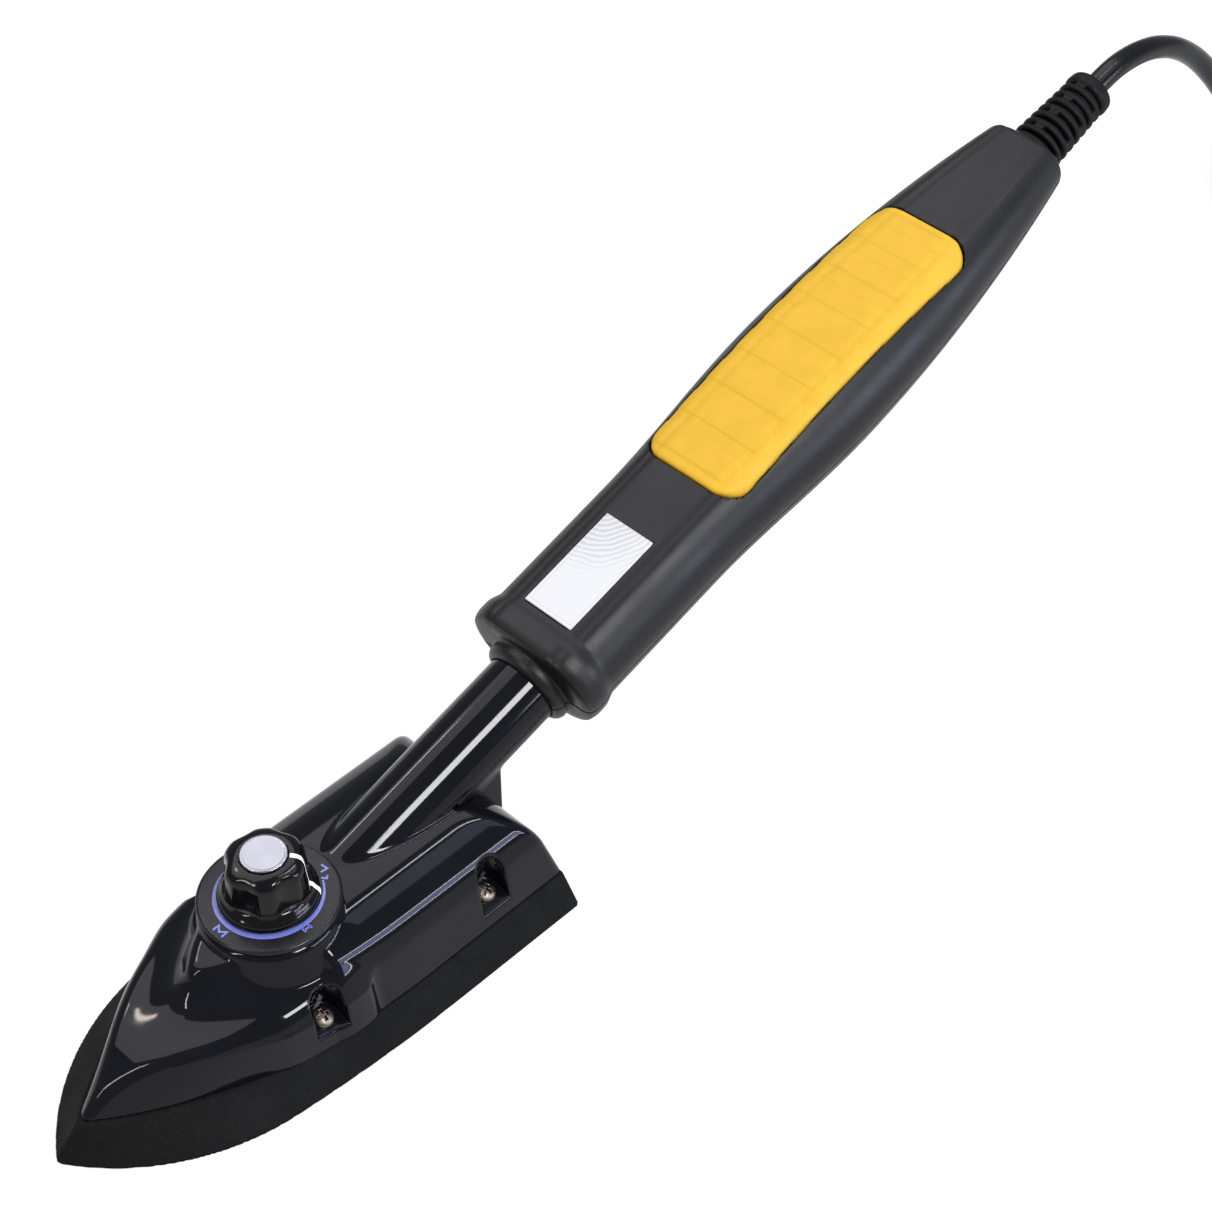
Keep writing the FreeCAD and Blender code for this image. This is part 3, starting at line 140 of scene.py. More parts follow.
def colours():
    """Colours chosen for this scene."""
    return bpy.context.scene.iron_colours


# Fields: functions that are negative inside a form, in millimetres

def blend_max(a, b, radius):
    """Larger of two fields, with a soft convex edge of about that radius where they meet."""
    overlap = np.maximum(radius - np.abs(a - b), 0) / radius
    return np.maximum(a, b) + overlap ** 2 * radius / 4


def blend_min(a, b, radius):
    """Smaller of two fields, with a filled corner where they meet."""
    return -blend_max(-a, -b, radius)


def between(value, low, high):
    """Field of a slab."""
    return np.abs(value - (low + high) / 2) - (high - low) / 2


def ease(value, low, high):
    """Soft step from 0 at low to 1 at high."""
    share = np.clip((value - low) / (high - low), 0, 1)
    return share * share * (3 - 2 * share)


def circle_through(ax, ay, bx, by, cx, cy):
    """Centre and radius of the circle through three points."""
    a2 = ax * ax + ay * ay
    b2 = bx * bx + by * by
    c2 = cx * cx + cy * cy
    d = 2 * (ax * (by - cy) + bx * (cy - ay) + cx * (ay - by))
    x = (a2 * (by - cy) + b2 * (cy - ay) + c2 * (ay - by)) / d
    y = (a2 * (cx - bx) + b2 * (ax - cx) + c2 * (bx - ax)) / d
    return x, y, np.hypot(ax - x, ay - y)


def rounded_box(distances, radius):
    """Field of a box from its three slab fields, with round edges."""
    grown = [np.maximum(d + radius, 0) for d in distances]
    inner = np.minimum(np.maximum.reduce([d + radius for d in distances]), 0)
    return np.sqrt(sum(g * g for g in grown)) + inner - radius


# Meshes

def surface_net(values):
    """Vertices, in grid steps, and quads where a sampled field changes sign."""
    cells = tuple(n - 1 for n in values.shape)
    total = np.zeros((int(np.prod(cells)), 3))
    hits = np.zeros(len(total))
    steps = np.eye(3, dtype=int)
    quads = []
    for axis in range(3):
        side = steps[(axis + 1) % 3]
        other = steps[(axis + 2) % 3]
        near = np.delete(values, -1, axis)
        far = np.delete(values, 0, axis)
        spots = np.argwhere((near < 0) != (far < 0))
        a = near[tuple(spots.T)]
        b = far[tuple(spots.T)]
        places = spots + np.outer(a / (a - b), steps[axis])
        ring = []
        for u, v in ((0, 0), (1, 0), (1, 1), (0, 1)):
            cell = np.ravel_multi_index(tuple((spots - u * side - v * other).T), cells)
            np.add.at(total, cell, places)
            np.add.at(hits, cell, 1)
            ring.append(cell)
        ring = np.stack(ring, 1)
        ring[a >= 0] = ring[a >= 0][:, ::-1]
        quads.append(ring)
    used = hits > 0
    number = np.cumsum(used) - 1
    return total[used] / hits[used][:, None], number[np.concatenate(quads)]


def sample(field, low, high, step):
    """Values of a field on a fine grid, worked out only near its surface and elsewhere by blocks."""
    block = 4
    counts = np.ceil((high - low) / (step * block)).astype(int) + 1
    axes = [low[i] + step * (block * np.arange(counts[i]) + (block - 1) / 2) for i in range(3)]
    middles = field(*np.meshgrid(*axes, indexing="ij"))
    values = middles.repeat(block, 0).repeat(block, 1).repeat(block, 2)
    near = np.argwhere(np.abs(middles) < 1.5 * step * block)
    offsets = np.argwhere(np.ones((block, block, block)))
    spots = (near[:, None, :] * block + offsets).reshape(-1, 3)
    values[tuple(spots.T)] = field(*(low + spots * step).T)
    return values


tetrahedron = np.array([(1, 1, 1), (1, -1, -1), (-1, 1, -1), (-1, -1, 1)]) / math.sqrt(3)


def slope_of(field, points):
    """Value and gradient of a field at points, from four samples round each."""
    reach = 0.012
    values = [field(*(points + way * reach).T) for way in tetrahedron]
    slope = sum(value[:, None] * way for value, way in zip(values, tetrahedron)) * 0.75 / reach
    return sum(values) / 4, slope


def skin(field, low, high, step):
    """Smooth closed mesh on the zero surface of a field: points, quads and outward normals."""
    low = np.array(low, float)
    net, quads = surface_net(sample(field, low, np.array(high, float), step))
    points = low + net * step
    for _ in range(3):
        value, slope = slope_of(field, points)
        move = np.clip(value / np.maximum((slope ** 2).sum(1), 0.05), -step / 2, step / 2)
        points = points - slope * move[:, None]
    slope = slope_of(field, points)[1]
    return points, quads, slope / np.maximum(np.linalg.norm(slope, axis=1), 1e-6)[:, None]


def from_pole(points):
    """Points given along, across and above the pole axis, in the iron's own frame."""
    return points @ pole_axes + pole_origin


def turn_from_pole(vectors):
    """Directions given in the pole's axes, in the iron's own frame."""
    return vectors @ pole_axes


def along_pole(x, z):
    """Distance along and above the pole axis of points in the iron's own frame."""
    dx = x - pole_origin[0]
    dz = z - pole_origin[2]
    s = dx * pole_along[0] + dz * pole_along[2]
    n = dx * pole_up[0] + dz * pole_up[2]
    return s, n


def add_piece(name, points, faces, finish, body="iron", stands_for=(), normals=None):
    """Object from points in millimetres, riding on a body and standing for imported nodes."""
    mesh = bpy.data.meshes.new(name)
    mesh.from_pydata((np.array(points) * MM).tolist(), [], [list(map(int, f)) for f in faces])
    mesh.shade_smooth()
    if normals is not None:
        mesh.normals_split_custom_set_from_vertices(normals.tolist())
    mesh.materials.append(finish)
    made = bpy.data.objects.new(name, mesh)
    bpy.context.scene.collection.objects.link(made)
    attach(made, body)
    if stands_for:
        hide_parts(*stands_for)
    return made


def add_skin(name, field, box, step, finish, stands_for, body="iron", on_pole=False):
    """Piece made of a field's skin, which may be worked out along the pole."""
    points, faces, normals = skin(field, *box, step)
    if on_pole:
        points = from_pole(points)
        normals = turn_from_pole(normals)
    return add_piece(name, points, faces, finish_named(finish), body, stands_for, normals)


def join_skins(skins):
    """Several skins as one mesh's points, quads and normals."""
    start = 0
    quads = []
    for points, faces, _ in skins:
        quads.append(faces + start)
        start += len(points)
    return (np.concatenate([s[0] for s in skins]), np.concatenate(quads),
            np.concatenate([s[2] for s in skins]))


def lathe(profile, steps):
    """Closed surface of revolution about the dial's axis from (radius, z) pairs."""
    angles = np.linspace(0, 2 * math.pi, steps, endpoint=False)
    points = [(r * math.cos(a), r * math.sin(a), z) for r, z in profile for a in angles]
    faces = []
    for j in range(len(profile) - 1):
        for i in range(steps):
            k = (i + 1) % steps
            faces.append((j * steps + i, j * steps + k, (j + 1) * steps + k, (j + 1) * steps + i))
    faces.append(tuple(range(steps - 1, -1, -1)))
    last = (len(profile) - 1) * steps
    faces.append(tuple(range(last, last + steps)))
    return points, faces


# Finishes

noise_low = 0.3
noise_high = 0.7
drift_low = 0.35
drift_high = 0.65
scratch_scale = 1500


def new_finish(name, colour, roughness, metallic=0.0, specular=0.5):
    """Material with a surface shader, and handles to its nodes."""
    finish = bpy.data.materials.new("look_" + name)
    finish.use_nodes = True
    shader = finish.node_tree.nodes["Principled BSDF"]
    shader.inputs["Base Color"].default_value = (*colour, 1)
    shader.inputs["Roughness"].default_value = roughness
    shader.inputs["Metallic"].default_value = metallic
    shader.inputs["Specular IOR Level"].default_value = specular
    return finish, shader


def finish_named(name):
    """Finish made here, whose material has a prefix to keep it apart from the frame's own."""
    return bpy.data.materials["look_" + name]


def add_node(finish, kind, inputs=None, **settings):
    """Node of a kind, with its own settings and the values of its sockets."""
    node = finish.node_tree.nodes.new(kind)
    for key, value in settings.items():
        setattr(node, key, value)
    for socket, value in (inputs or {}).items():
        node.inputs[socket].default_value = value
    return node


def link(finish, source, target):
    """Link one node's output to another's input."""
    finish.node_tree.links.new(source, target)


def place_of(finish):
    """Object coordinates, in metres, which ride with the piece."""
    return add_node(finish, "ShaderNodeTexCoord").outputs["Object"]


def add_noise(finish, scale, detail=3.0, rough=0.55):
    """Noise value in the piece's own coordinates."""
    noise = add_node(finish, "ShaderNodeTexNoise", {"Scale": scale, "Detail": detail, "Roughness": rough})
    link(finish, place_of(finish), noise.inputs["Vector"])
    return noise.outputs["Fac"]


def map_range(finish, value, from_low, from_high, to_low, to_high):
    """Map one range of a value onto another."""
    node = add_node(finish, "ShaderNodeMapRange", {
        "From Min": from_low, "From Max": from_high, "To Min": to_low, "To Max": to_high})
    link(finish, value, node.inputs["Value"])
    return node.outputs["Result"]


def spread(finish, value, low, high):
    """Map the usual range of a noise value onto another range."""
    return map_range(finish, value, noise_low, noise_high, low, high)


def add_bump(finish, shader, heights):
    """Bump from (value, strength, distance) layers, the finest last."""
    before = None
    for value, strength, distance in heights:
        bump = add_node(finish, "ShaderNodeBump", {"Strength": strength, "Distance": distance})
        link(finish, value, bump.inputs["Height"])
        if before:
            link(finish, before, bump.inputs["Normal"])
        before = bump.outputs["Normal"]
    link(finish, before, shader.inputs["Normal"])


def vary_colour(finish, shader, value, dark, light):
    """Base colour that drifts between two tones with a noise value."""
    ramp = add_node(finish, "ShaderNodeValToRGB")
    for stop, place, tone in zip(ramp.color_ramp.elements, (drift_low, drift_high), (dark, light)):
        stop.position = place
        stop.color = (*tone, 1)
    link(finish, value, ramp.inputs["Fac"])
    link(finish, ramp.outputs["Color"], shader.inputs["Base Color"])


def tinted(colour, share):
    """A colour made darker or lighter by a share."""
    return tuple(min(1.0, c * share) for c in colour)


def glossy_moulding(name, colour, roughness, specular=0.3):
    """Polished moulded plastic with a faint orange peel and hairline wear."""
    finish, shader = new_finish(name, colour, roughness, specular=specular)
    vary_colour(finish, shader, add_noise(finish, 60), tinted(colour, 0.85), tinted(colour, 1.2))
    link(finish, spread(finish, add_noise(finish, 700, 6), roughness * 0.85, roughness * 1.3),
         shader.inputs["Roughness"])
    add_bump(finish, shader, [(add_noise(finish, 120, 1), 0.03, 0.0002),
                              (add_noise(finish, 2600, 2), 0.02, 0.00005)])
    return finish


def grained_moulding(name, colour, roughness, grain, depth, specular):
    """Spark eroded plastic: a fine even grain with soft tone changes."""
    finish, shader = new_finish(name, colour, roughness, specular=specular)
    vary_colour(finish, shader, add_noise(finish, grain * 0.5, 2),
                tinted(colour, 0.8), tinted(colour, 1.25))
    link(finish, spread(finish, add_noise(finish, 90, 4), roughness * 0.9, roughness * 1.12),
         shader.inputs["Roughness"])
    add_bump(finish, shader, [(add_noise(finish, grain, 3, 0.6), 0.5, depth)])
    return finish


def metal(name, colour, roughness):
    """Plain worked metal with fine scratches and patchy tarnish."""
    finish, shader = new_finish(name, colour, roughness, metallic=1.0)
    vary_colour(finish, shader, add_noise(finish, 120, 4), tinted(colour, 0.8), tinted(colour, 1.1))
    link(finish, spread(finish, add_noise(finish, scratch_scale, 4), roughness * 0.7, roughness * 1.4),
         shader.inputs["Roughness"])
    add_bump(finish, shader, [(add_noise(finish, scratch_scale, 3), 0.15, 0.00005)])
    return finish


def sole_coating():
    """Dull non stick coating with a sandy tooth and a few pale rubs."""
    colour = colours().sole
    finish, shader = new_finish("sole_coating", colour, 0.62, specular=0.06)
    vary_colour(finish, shader, add_noise(finish, 1400, 4, 0.7),
                tinted(colour, 0.7), tinted(colour, 1.4))
    link(finish, spread(finish, add_noise(finish, 160, 5), 0.56, 0.7), shader.inputs["Roughness"])
    add_bump(finish, shader, [(add_noise(finish, 2200, 3), 0.4, 0.00008)])
    return finish


def pad_rubber():
    """Soft yellow rubber with a fine bloom."""
    colour = colours().pad
    finish, shader = new_finish("pad_rubber", colour, 0.55, specular=0.25)
    vary_colour(finish, shader, add_noise(finish, 220, 3), tinted(colour, 0.955), tinted(colour, 1.02))
    link(finish, spread(finish, add_noise(finish, 1800, 3), 0.5, 0.62), shader.inputs["Roughness"])
    add_bump(finish, shader, [(add_noise(finish, 3500, 2), 0.12, 0.00004)])
    return finish


turned_ring_pitch = 0.00022


def spun_cap():
    """Aluminium turned with fine rings, whose gloss runs in wedges round the centre."""
    finish, shader = new_finish("spun_cap", (0.235, 0.24, 0.255), 0.2, metallic=1.0)
    shader.inputs["Anisotropic"].default_value = 0.85
    tangent = add_node(finish, "ShaderNodeTangent", direction_type="RADIAL", axis="Z")
    link(finish, tangent.outputs["Tangent"], shader.inputs["Tangent"])
    flat = add_node(finish, "ShaderNodeVectorMath", {1: (1, 1, 0)}, operation="MULTIPLY")
    link(finish, place_of(finish), flat.inputs[0])
    length = add_node(finish, "ShaderNodeVectorMath", operation="LENGTH")
    link(finish, flat.outputs["Vector"], length.inputs[0])
    rings = add_node(finish, "ShaderNodeMath", {1: 2 * math.pi / turned_ring_pitch}, operation="MULTIPLY")
    link(finish, length.outputs["Value"], rings.inputs[0])
    wave = add_node(finish, "ShaderNodeMath", operation="SINE")
    link(finish, rings.outputs["Value"], wave.inputs[0])
    add_bump(finish, shader, [(wave.outputs["Value"], 0.12, 0.00002)])
    return finish


plate_white = (0.40, 0.40, 0.405)
plate_grey = (0.31, 0.31, 0.315)
swirl_middle = (31.0, 7.5, 13.0)
swirl_fade_start = 0.004
swirl_fade_end = 0.026
swirl_contrast = 0.7


def label_face():
    """Bare white plate with a pale grey swirl towards its rear."""
    finish, shader = new_finish("label_face", plate_white, 0.3, specular=0.3)
    wave = add_node(finish, "ShaderNodeTexWave",
                    {"Scale": 260, "Distortion": 5.0, "Detail": 2.0, "Detail Scale": 0.6},
                    wave_type="RINGS", rings_direction="SPHERICAL")
    middle = tuple(from_pole(np.array(swirl_middle)) * MM)
    shift = add_node(finish, "ShaderNodeVectorMath", {1: middle}, operation="SUBTRACT")
    link(finish, place_of(finish), shift.inputs[0])
    link(finish, shift.outputs["Vector"], wave.inputs["Vector"])
    away = add_node(finish, "ShaderNodeVectorMath", operation="LENGTH")
    link(finish, shift.outputs["Vector"], away.inputs[0])
    fade = map_range(finish, away.outputs["Value"], swirl_fade_start, swirl_fade_end, 1.0, 0.0)
    cloud = add_node(finish, "ShaderNodeMath", {1: -swirl_contrast, 2: 1.0}, operation="MULTIPLY_ADD")
    link(finish, wave.outputs["Fac"], cloud.inputs[0])
    grey = add_node(finish, "ShaderNodeMath", operation="MULTIPLY")
    link(finish, cloud.outputs["Value"], grey.inputs[0])
    link(finish, fade, grey.inputs[1])
    vary_colour(finish, shader, grey.outputs["Value"], plate_white, plate_grey)
    add_bump(finish, shader, [(add_noise(finish, 2500, 2), 0.05, 0.00002)])
    return finish


def print_ink(name, colour):
    """Printed ink, slightly uneven."""
    finish, shader = new_finish(name, colour, 0.35)
    vary_colour(finish, shader, add_noise(finish, 2500, 3), tinted(colour, 0.88), tinted(colour, 1.1))
    add_bump(finish, shader, [(add_noise(finish, 4000, 2), 0.08, 0.00002)])
    return finish


class IRON_OT_finishes(bpy.types.Operator):
    """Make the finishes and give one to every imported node"""

    bl_idname = "iron.finishes"
    bl_label = "Finishes"

    def execute(self, context):
        chosen = colours()
        glossy_moulding("cover_gloss", chosen.cover, roughness=0.065, specular=0.16)
        glossy_moulding("knob_gloss", (0.0018, 0.0017, 0.0017), roughness=0.11, specular=0.2)
        glossy_moulding("dial_gloss", (0.006, 0.006, 0.0068), roughness=0.26, specular=0.2)
        glossy_moulding("cord_jacket", (0.0032, 0.0032, 0.0034), roughness=0.22, specular=0.2)
        glossy_moulding("plug_moulding", (0.006, 0.006, 0.006), roughness=0.35, specular=0.4)
        for name, colour, roughness, grain, depth, specular in (
                ("handle_grain", chosen.handle, 0.4, 3200, 0.00006, 0.2),
                ("neck_matt", (0.004, 0.004, 0.0045), 0.36, 2600, 0.00004, 0.1),
                ("sleeve_rubber", (0.0036, 0.0036, 0.0036), 0.5, 2400, 0.00005, 0.1),
                ("tie_web", (0.015, 0.015, 0.016), 0.7, 1800, 0.0002, 0.13),
                ("fired_ceramic", (0.72, 0.69, 0.62), 0.6, 1500, 0.00008, 0.13),
                ("live_jacket", (0.16, 0.055, 0.022), 0.4, 1500, 0.00003, 0.13),
                ("neutral_jacket", (0.035, 0.09, 0.32), 0.4, 1500, 0.00003, 0.13),
                ("block_plastic", (0.62, 0.60, 0.54), 0.42, 1500, 0.00005, 0.13)):
            grained_moulding(name, colour, roughness, grain, depth, specular)
        sole_coating()
        pad_rubber()
        spun_cap()
        label_face()
        print_ink("dial_ink", chosen.marks)
        print_ink("pointer_ink", (0.80, 0.79, 0.74))
        for name, colour, roughness in (
                ("screw_steel", (0.17, 0.145, 0.12), 0.38),
                ("element_steel", (0.42, 0.40, 0.37), 0.38),
                ("sheet_steel", (0.62, 0.62, 0.60), 0.32),
                ("zinc_steel", (0.56, 0.55, 0.50), 0.36),
                ("spring_steel", (0.48, 0.48, 0.47), 0.27),
                ("bimetal_strip", (0.60, 0.52, 0.40), 0.33),
                ("bright_brass", (0.72, 0.52, 0.22), 0.28),
                ("bare_copper", (0.78, 0.42, 0.27), 0.3)):
            metal(name, colour, roughness)
        worn = {
            "heating_element": "element_steel", "heater_beads": "fired_ceramic", "heater_pins": "zinc_steel",
            "heat_shield": "sheet_steel", "sole_plate": "sole_coating", "head_cover": "cover_gloss",
            "neck_base": "neck_matt", "cover_screws": "screw_steel", "dial_plate": "dial_gloss",
            "knob_body": "knob_gloss", "knob_cap": "spun_cap", "knob_bush": "bright_brass",
            "knob_clip": "spring_steel", "thermostat_spindle": "zinc_steel", "spindle_nut": "bright_brass",
            "thermostat_bridge": "zinc_steel", "thermostat_base": "zinc_steel",
            "thermostat_screws": "zinc_steel", "ceramic_washers": "fired_ceramic",
            "stack_rivet": "zinc_steel", "bimetal_strip": "bimetal_strip", "fixed_leaf": "spring_steel",
            "arm_root": "spring_steel",
            "contact_arm": "spring_steel", "adjust_pin": "fired_ceramic", "thermal_fuse": "zinc_steel",
            "fuse_links": "bare_copper", "live_wire": "live_jacket", "neutral_wire": "neutral_jacket",
            "handle_upper": "handle_grain", "handle_lower": "handle_grain", "handle_screws": "screw_steel",
            "grip_pad": "pad_rubber", "name_plate": "label_face", "terminal_block": "block_plastic",
            "terminal_screws": "bright_brass", "core_wires": "neutral_jacket", "cable_clamp": "block_plastic",
            "clamp_screws": "zinc_steel", "strain_relief": "sleeve_rubber", "cord_root": "cord_jacket",
            "cord": "cord_jacket", "cord_coil": "cord_jacket", "cord_tie": "tie_web",
            "plug_body": "plug_moulding", "plug_blades": "bright_brass",
        }
        for name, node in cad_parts.items():
            node.data.materials.clear()
            node.data.materials.append(finish_named(worn[name]))
        return {"FINISHED"}


# Head: sole, cover and neck

# Outlines in plan: each value at the foot, and how much it changes over the height of its wall
sole_tip_lean = 6.0
sole_join_x = -18.0
sole_join_lean = 9.5
sole_side_radius = 385.0
sole_side_tightening = 235.0
sole_widest_x = 25.0
sole_inset = 5.0
cover_join_x = -8.5
cover_join_lean = 0.5
cover_side_radius = 150.0
cover_side_easing = 68.0
cover_widest_x = 20.0

nose_tip_x = sole_tip_x + 6.5
flare_share = 0.82
element_half_pitch = 9.0
element_bend_x = -20.0
element_rear_x = 36.0
element_slot_radius = 3.05
deck_points = ((-46.0, 11.5), (-38.0, 16.3), (-28.0, 18.6))
deck_rise_x = -30.0
shoulder_z = 21.3
shoulder_half_width = 20.2
shoulder_tip_x = -39.0
flank_half_width = 22.4
saddle_z = 29.3
saddle_half_width = 8.7
saddle_start_x = 0.0
knee_x = 55.0
knee_z = 17.5
crown_x = 36.0
rear_bulge = 4.0
flank_bulge = 0.8
flank_foot_z = 22.3
ridge_foot_fillet = 2.4
ridge_line_fillet = 0.3
hump_fillet_growth = 1.7
# Hump: each value at its top, what it gains down to its foot, and the power of that gain
hump_tip = (-20.8, -12.2, 2.85)
hump_half_width = (9.8, 6.8, 2.02)
hump_bulge = (1.4, 3.8, 0.89)
hump_flare = 2.3
hump_flare_curve = 1.85
hump_foot_z = 17.0
hump_drop = 0.25
hump_slope = 0.175
hump_slope_length = 1.015
hump_rear_x = 4.0
hump_reach = 40.0
hump_bow_round = 2.2
hump_top_round = 1.8

boss_base_radius = 17.4
boss_base_z = 18.5
boss_rim_radius = dial_radius - 0.6
cover_wall = 1.8
neck_radius = 8.25
neck_bore = 6.65
neck_start = -66.0
neck_tail = 14.0
neck_base_start = -41.0
neck_rib_radius = 10.3
neck_rib_span = (9.0, 12.0)
seam_gap = 0.03
parting_gap = 0.02
spindle_hole_radius = 3.6
web_front_x = 43.0
web_rear_x = 56.6
web_half_width = 6.8
web_wall = 1.6
web_gap = 0.2
pocket_places = [(x, side) for x in (-3.9, 40.1) for side in (-1, 1)]
pocket_y = 18.0
pocket_floor_z = 12.1
pocket_lean = math.radians(20)
pocket_radius = 3.5
pocket_wall = 1.3
pocket_post_radius = 2.9
pocket_seat_depth = 3.0
mouth_reach = 3.0
mouth_root = 1.5
mouth_slope = 1.4
mouth_slope_length = 1.72
mouth_height = 5.0
screw_hole_radius = 1.7


def shoe(x, y, tip_x, join_x, side_radius, widest_x, half_width):
    """Field in plan of one flank of a shoe outline: a nose arc, a side arc and a straight."""
    centre_y = half_width - side_radius
    reach = np.sqrt(side_radius ** 2 - (widest_x - join_x) ** 2)
    join_y = centre_y + reach
    inward_x = (widest_x - join_x) / side_radius
    inward_y = (centre_y - join_y) / side_radius
    span_x = join_x - tip_x
    nose_radius = -(span_x ** 2 + join_y ** 2) / (2 * (inward_x * span_x + inward_y * join_y))
    nose = np.hypot(x - join_x - inward_x * nose_radius, y - join_y - inward_y * nose_radius) - nose_radius
    side = np.hypot(x - widest_x, y - centre_y) - side_radius
    ahead = inward_x * (y - join_y) - inward_y * (x - join_x) < 0
    return np.where(ahead, nose, np.where(x < widest_x, side, y - half_width))


def shoe_pair(x, y, round_tip, *outline):
    """Field in plan of a whole shoe outline, with a rounded tip."""
    return blend_max(shoe(x, y, *outline), shoe(x, -y, *outline), round_tip)


def sole_outline(x, y, z):
    """Field in plan of the sole, which narrows towards the parting line."""
    rise = z / parting_z
    return shoe_pair(
        x, y, 1.0, sole_tip_x + sole_tip_lean * rise, sole_join_x + sole_join_lean * rise,
        sole_side_radius - sole_side_tightening * rise, sole_widest_x - sole_inset * rise,
        sole_half_width - sole_inset * rise)


def element_slot(x, y, z):
    """Half round slot that holds the U shaped heating element."""
    legs = np.abs(np.abs(y) - element_half_pitch)
    bend = np.abs(np.hypot(x - element_bend_x, y) - element_half_pitch)
    rear = np.hypot(x - element_rear_x, np.abs(y) - element_half_pitch)
    plan = np.where(x < element_bend_x, bend, np.where(x > element_rear_x, rear, legs))
    return np.hypot(plan, z - parting_z) - element_slot_radius


def sole_field(x, y, z):
    """Sole: a flared flank, a straight rear and the slot of its element."""
    body = blend_max(sole_outline(x, y, z) * flare_share, x - sole_rear_x, 0.7)
    body = blend_max(body, -z, 0.9)
    body = blend_max(body, z - parting_z, 0.5)
    return np.maximum(body, -element_slot(x, y, z))


def deck_field(x, z):
    """Below the deck line: an arc over the nose, then a gentle rise to the dial."""
    arc_x, arc_z, radius = circle_through(*(value for point in deck_points for value in point))
    end_x, end_z = deck_points[-1]
    slope = (shoulder_z - end_z) / (saddle_start_x - deck_rise_x)
    nose = np.hypot(x - arc_x, z - arc_z) - radius
    rise = z - end_z - (x - end_x) * slope
    return np.where(x < end_x, nose, np.maximum(rise, z - shoulder_z))


def rear_field(x, z):
    """In front of the leaning rear wall and its rounded top."""
    slope = (sole_rear_x - knee_x) / (knee_z - parting_z)
    wall = x - knee_x + (z - knee_z) * slope
    middle_x = (knee_x + crown_x) / 2
    middle_z = (knee_z + saddle_z) / 2
    chord = math.hypot(knee_x - crown_x, saddle_z - knee_z)
    bulge_x = middle_x + (saddle_z - knee_z) / chord * rear_bulge
    bulge_z = middle_z + (knee_x - crown_x) / chord * rear_bulge
    arc_x, arc_z, radius = circle_through(knee_x, knee_z, bulge_x, bulge_z, crown_x, saddle_z)
    cap = np.hypot(np.maximum(x - arc_x, 0), z - arc_z) - radius
    return np.where(z < knee_z, wall, cap)


def hump_field(x, y, z):
    """Bow shaped hump in front of the dial: steep bulging sides and a top that falls to its tip."""
    fall = np.clip((boss_top_z - z) / (boss_top_z - hump_foot_z), 0, 1.05)
    tip_x, half_width, bulge = (top + more * fall ** curve for top, more, curve in (
        hump_tip, hump_half_width, hump_bulge))
    chord = np.hypot(tip_x, half_width)
    radius = chord ** 2 / (8 * bulge) + bulge / 2
    inset = radius - bulge
    out_x = -half_width / chord
    out_y = -tip_x / chord
    centre_x = tip_x / 2 - out_x * inset
    centre_y = half_width / 2 - out_y * inset
    steep = np.hypot(1, hump_flare * fall ** hump_flare_curve)
    sides = [(np.hypot(x - centre_x, side * y - centre_y) - radius) / steep for side in (-1, 1)]
    top = (z - boss_top_z + hump_drop - hump_slope * x) / hump_slope_length
    body = blend_max(sides[0], sides[1], hump_bow_round)
    body = blend_max(body, x - hump_rear_x, 1.0)
    return blend_max(body, top, hump_top_round)


def at_pocket(x, y, z, place, side):
    """Coordinates on a leaning pocket's floor: along, outwards and up its axis."""
    out = side * y - pocket_y
    up = z - pocket_floor_z
    return (x - place, out * math.cos(pocket_lean) - up * math.sin(pocket_lean),
            out * math.sin(pocket_lean) + up * math.cos(pocket_lean))


def cover_body(x, y, z):
    """Outer form of the cover without its neck."""
    size = sizes()
    share = np.clip((z - parting_z) / (shoulder_z - parting_z), -0.2, 1.6)
    plan = shoe_pair(
        x, y, 1.2, nose_tip_x + (shoulder_tip_x - nose_tip_x) * share, cover_join_x + cover_join_lean * share,
        cover_side_radius + cover_side_easing * share, cover_widest_x,
        flank_half_width - (flank_half_width - shoulder_half_width) * share)
    edge = (size.nose_round + (size.shoulder_round - size.nose_round) * ease(x, -44.0, -12.0)) / MM
    low = blend_max(plan, deck_field(x, z), edge)
    run = shoulder_half_width - saddle_half_width
    drop = saddle_z - flank_foot_z
    pitch = math.hypot(run, drop)
    flank = ((z - saddle_z) * run + (np.abs(y) - saddle_half_width) * drop) / pitch
    down = ((np.abs(y) - saddle_half_width) * run - (z - saddle_z) * drop) / pitch
    flank += ((down - pitch / 2) ** 2 / (pitch / 2) ** 2 - 1) * flank_bulge
    ridge = blend_max(z - saddle_z, flank, size.crest_round / MM)
    ridge = blend_max(ridge, plan, size.shoulder_round / MM)
    ridge = blend_max(ridge, saddle_start_x - x, 2.0)
    foot = ridge_foot_fillet + (ridge_line_fillet - ridge_foot_fillet) * ease(x, 2.0, 8.0)
    body = blend_min(low, ridge, foot)
    around = np.hypot(x, y)
    taper = (boss_base_radius - boss_rim_radius) / (boss_top_z - boss_base_z)
    cone = (around - boss_base_radius + (z - boss_base_z) * taper) / math.hypot(1, taper)
    boss = blend_max(cone, z - boss_top_z, 0.6)
    hollow = size.hump_fillet / MM * (1 + hump_fillet_growth * ease(x, -23.0, -12.0))
    body = blend_min(body, blend_max(hump_field(x, y, z), around - hump_reach, 1), hollow)
    body = blend_min(body, boss, 0.5)
    return blend_max(body, rear_field(x, z), 1.6)


